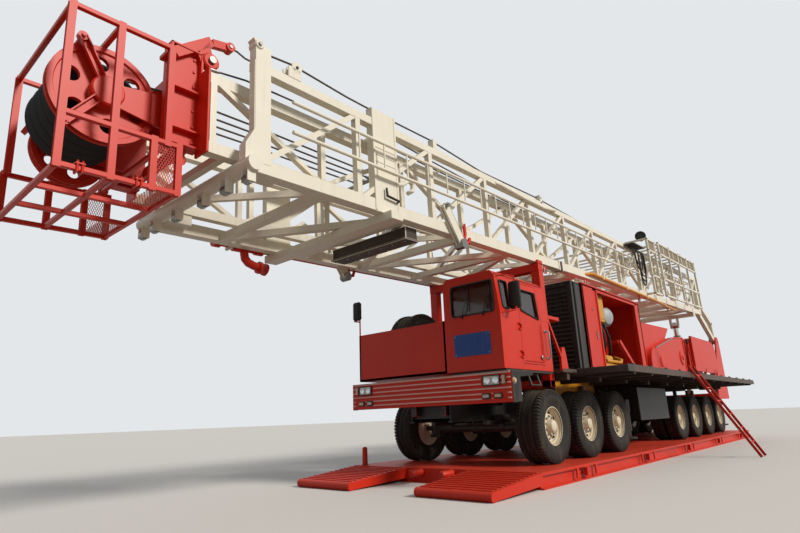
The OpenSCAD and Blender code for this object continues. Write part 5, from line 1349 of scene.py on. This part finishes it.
# stations along the mast, then levels across it, then its near and far sides
x0, xm, x1, xb, xc, z0, zm, z1, y1, far = 19.775, 20.255, 20.67, 19.66, 19.90, 0.52, 1.00, 2.04, 0.85, -0.72
rails = [((x, y, zm), (x, y, z1)) for x in (x0, xm, x1) for y in (far, y1)]
rails += [((x, -y1, zm), (x, far, zm)) for x in (xm, x1)] + [((x, far, z1), (x, y1, z1)) for x in (xm, x1)]
rails += [((x0, 0.64, z1), (x0, y1, z1))] + [((x, y, z0), (x, y, zm)) for x in (xb, xc, xm, x1) for y in (-y1, y1)]
rails += [((x0, y, z1), (x1, y, z1)) for y in (far, y1)] + [((xb, y, z), (x1, y, z)) for y in (-y1, y1)
                                                            for z in (z0, zm)]
rails += [((x0, -y1, zm), (x0, y1, zm))] + [((x, -y1, z0), (x, y1, z0)) for x in (xb, xm, x1)]
rails += [((xb, y, z0), (x1, y, z0)) for y in (-y1 / 3, y1 / 3)]
for a, b in rails:
    # each direction is a shade slimmer, so that no two faces lie in one plane
    way = (Vector(b) - Vector(a)).normalized()
    upright = abs(way.z) > 0.5
    size = 0.050 - 0.0016 * abs(way.x) - 0.0032 * abs(way.y) - 0.001 * (upright and a[2] < zm)
    reach = way * (0.0246 if upright else 0.0225)
    bar(cage, Vector(a) - reach, Vector(b) + reach, size, size, 0, 0.006, upward=AHEAD if upright else UP)
for side in (-1, 1):
    mesh_sheet(cage, (xb, side * y1, z0), (xc - xb, 0, 0), (0, 0, zm - z0), 0.026)
mesh_sheet(cage, (xb, -y1, z0), (xc - xb, 0, 0), (0, y1 * 2 / 3, 0), 0.026)
mesh_sheet(cage, (xb, y1 / 3, z0), (xc - xb, 0, 0), (0, y1 * 2 / 3, 0), 0.026)
for x in (20.50, 20.02):
    for dx in (-0.02, 0.02):
        tube(cage, [(x + dx, y1 + 0.034, z0 + 0.06), (x + dx, y1 + 0.034, z0 - 0.034),
                    (x + dx, y1 - 0.034, z0 - 0.034), (x + dx, y1 - 0.034, z0 + 0.06)], 0.008, 0, 8)
    plate(cage, (x - 0.04, y1 - 0.045, z0 + 0.026), (x + 0.04, y1 + 0.045, z0 + 0.042), 0, 0.004)
fit(cage, "crown_cage_of_square_tube", "mast_upper", red_enamel, slot="red_paint", instead_of="crown_cage",
    place=mast_place)

# Cab glass: flat toughened panes 8 mm thick, faintly grey and green and a
# little dusty, cut to the size of their openings. The side panes lean in with
# the cab's wall.
glass = bpy.data.materials.new("toughened_tinted_glass")
glass.use_nodes = True
tree = glass.node_tree
shader = tree.nodes["Principled BSDF"]
place = add(tree, "ShaderNodeTexCoord").outputs["Object"]
film = add(tree, "ShaderNodeTexNoise", [("Vector", place)], in_Scale=7.0, in_Detail=6.0)
film = add(tree, "ShaderNodeMapRange", [("Value", film.outputs["Fac"])], in_1=0.4, in_2=0.8, in_3=0.02, in_4=0.2)
tree.links.new(film.outputs[0], shader.inputs["Roughness"])
shader.inputs["Base Color"].default_value = linear("#8FA09A")
shader.inputs["Transmission Weight"].default_value = 1.0
shader.inputs["IOR"].default_value = 1.5


def leaning(bm, outline, inset, thick):
    loops = [[bm.verts.new((x, lean(z) - deep, z)) for x, z in outline] for deep in (inset, inset + thick)]
    close(bm, loops)


panes = bmesh.new()
along(panes, windscreen, 7.136, 7.144)
leaning(panes, quarter, 0.016, 0.008)
fit(panes, "cab_panes", "carrier", glass, slot="glass", instead_of="cab_glass")
panes = bmesh.new()
leaning(panes, door_window, 0.016, 0.008)
fit(panes, "cab_door_pane", "cab_door", glass, slot="glass", instead_of="door_glass")
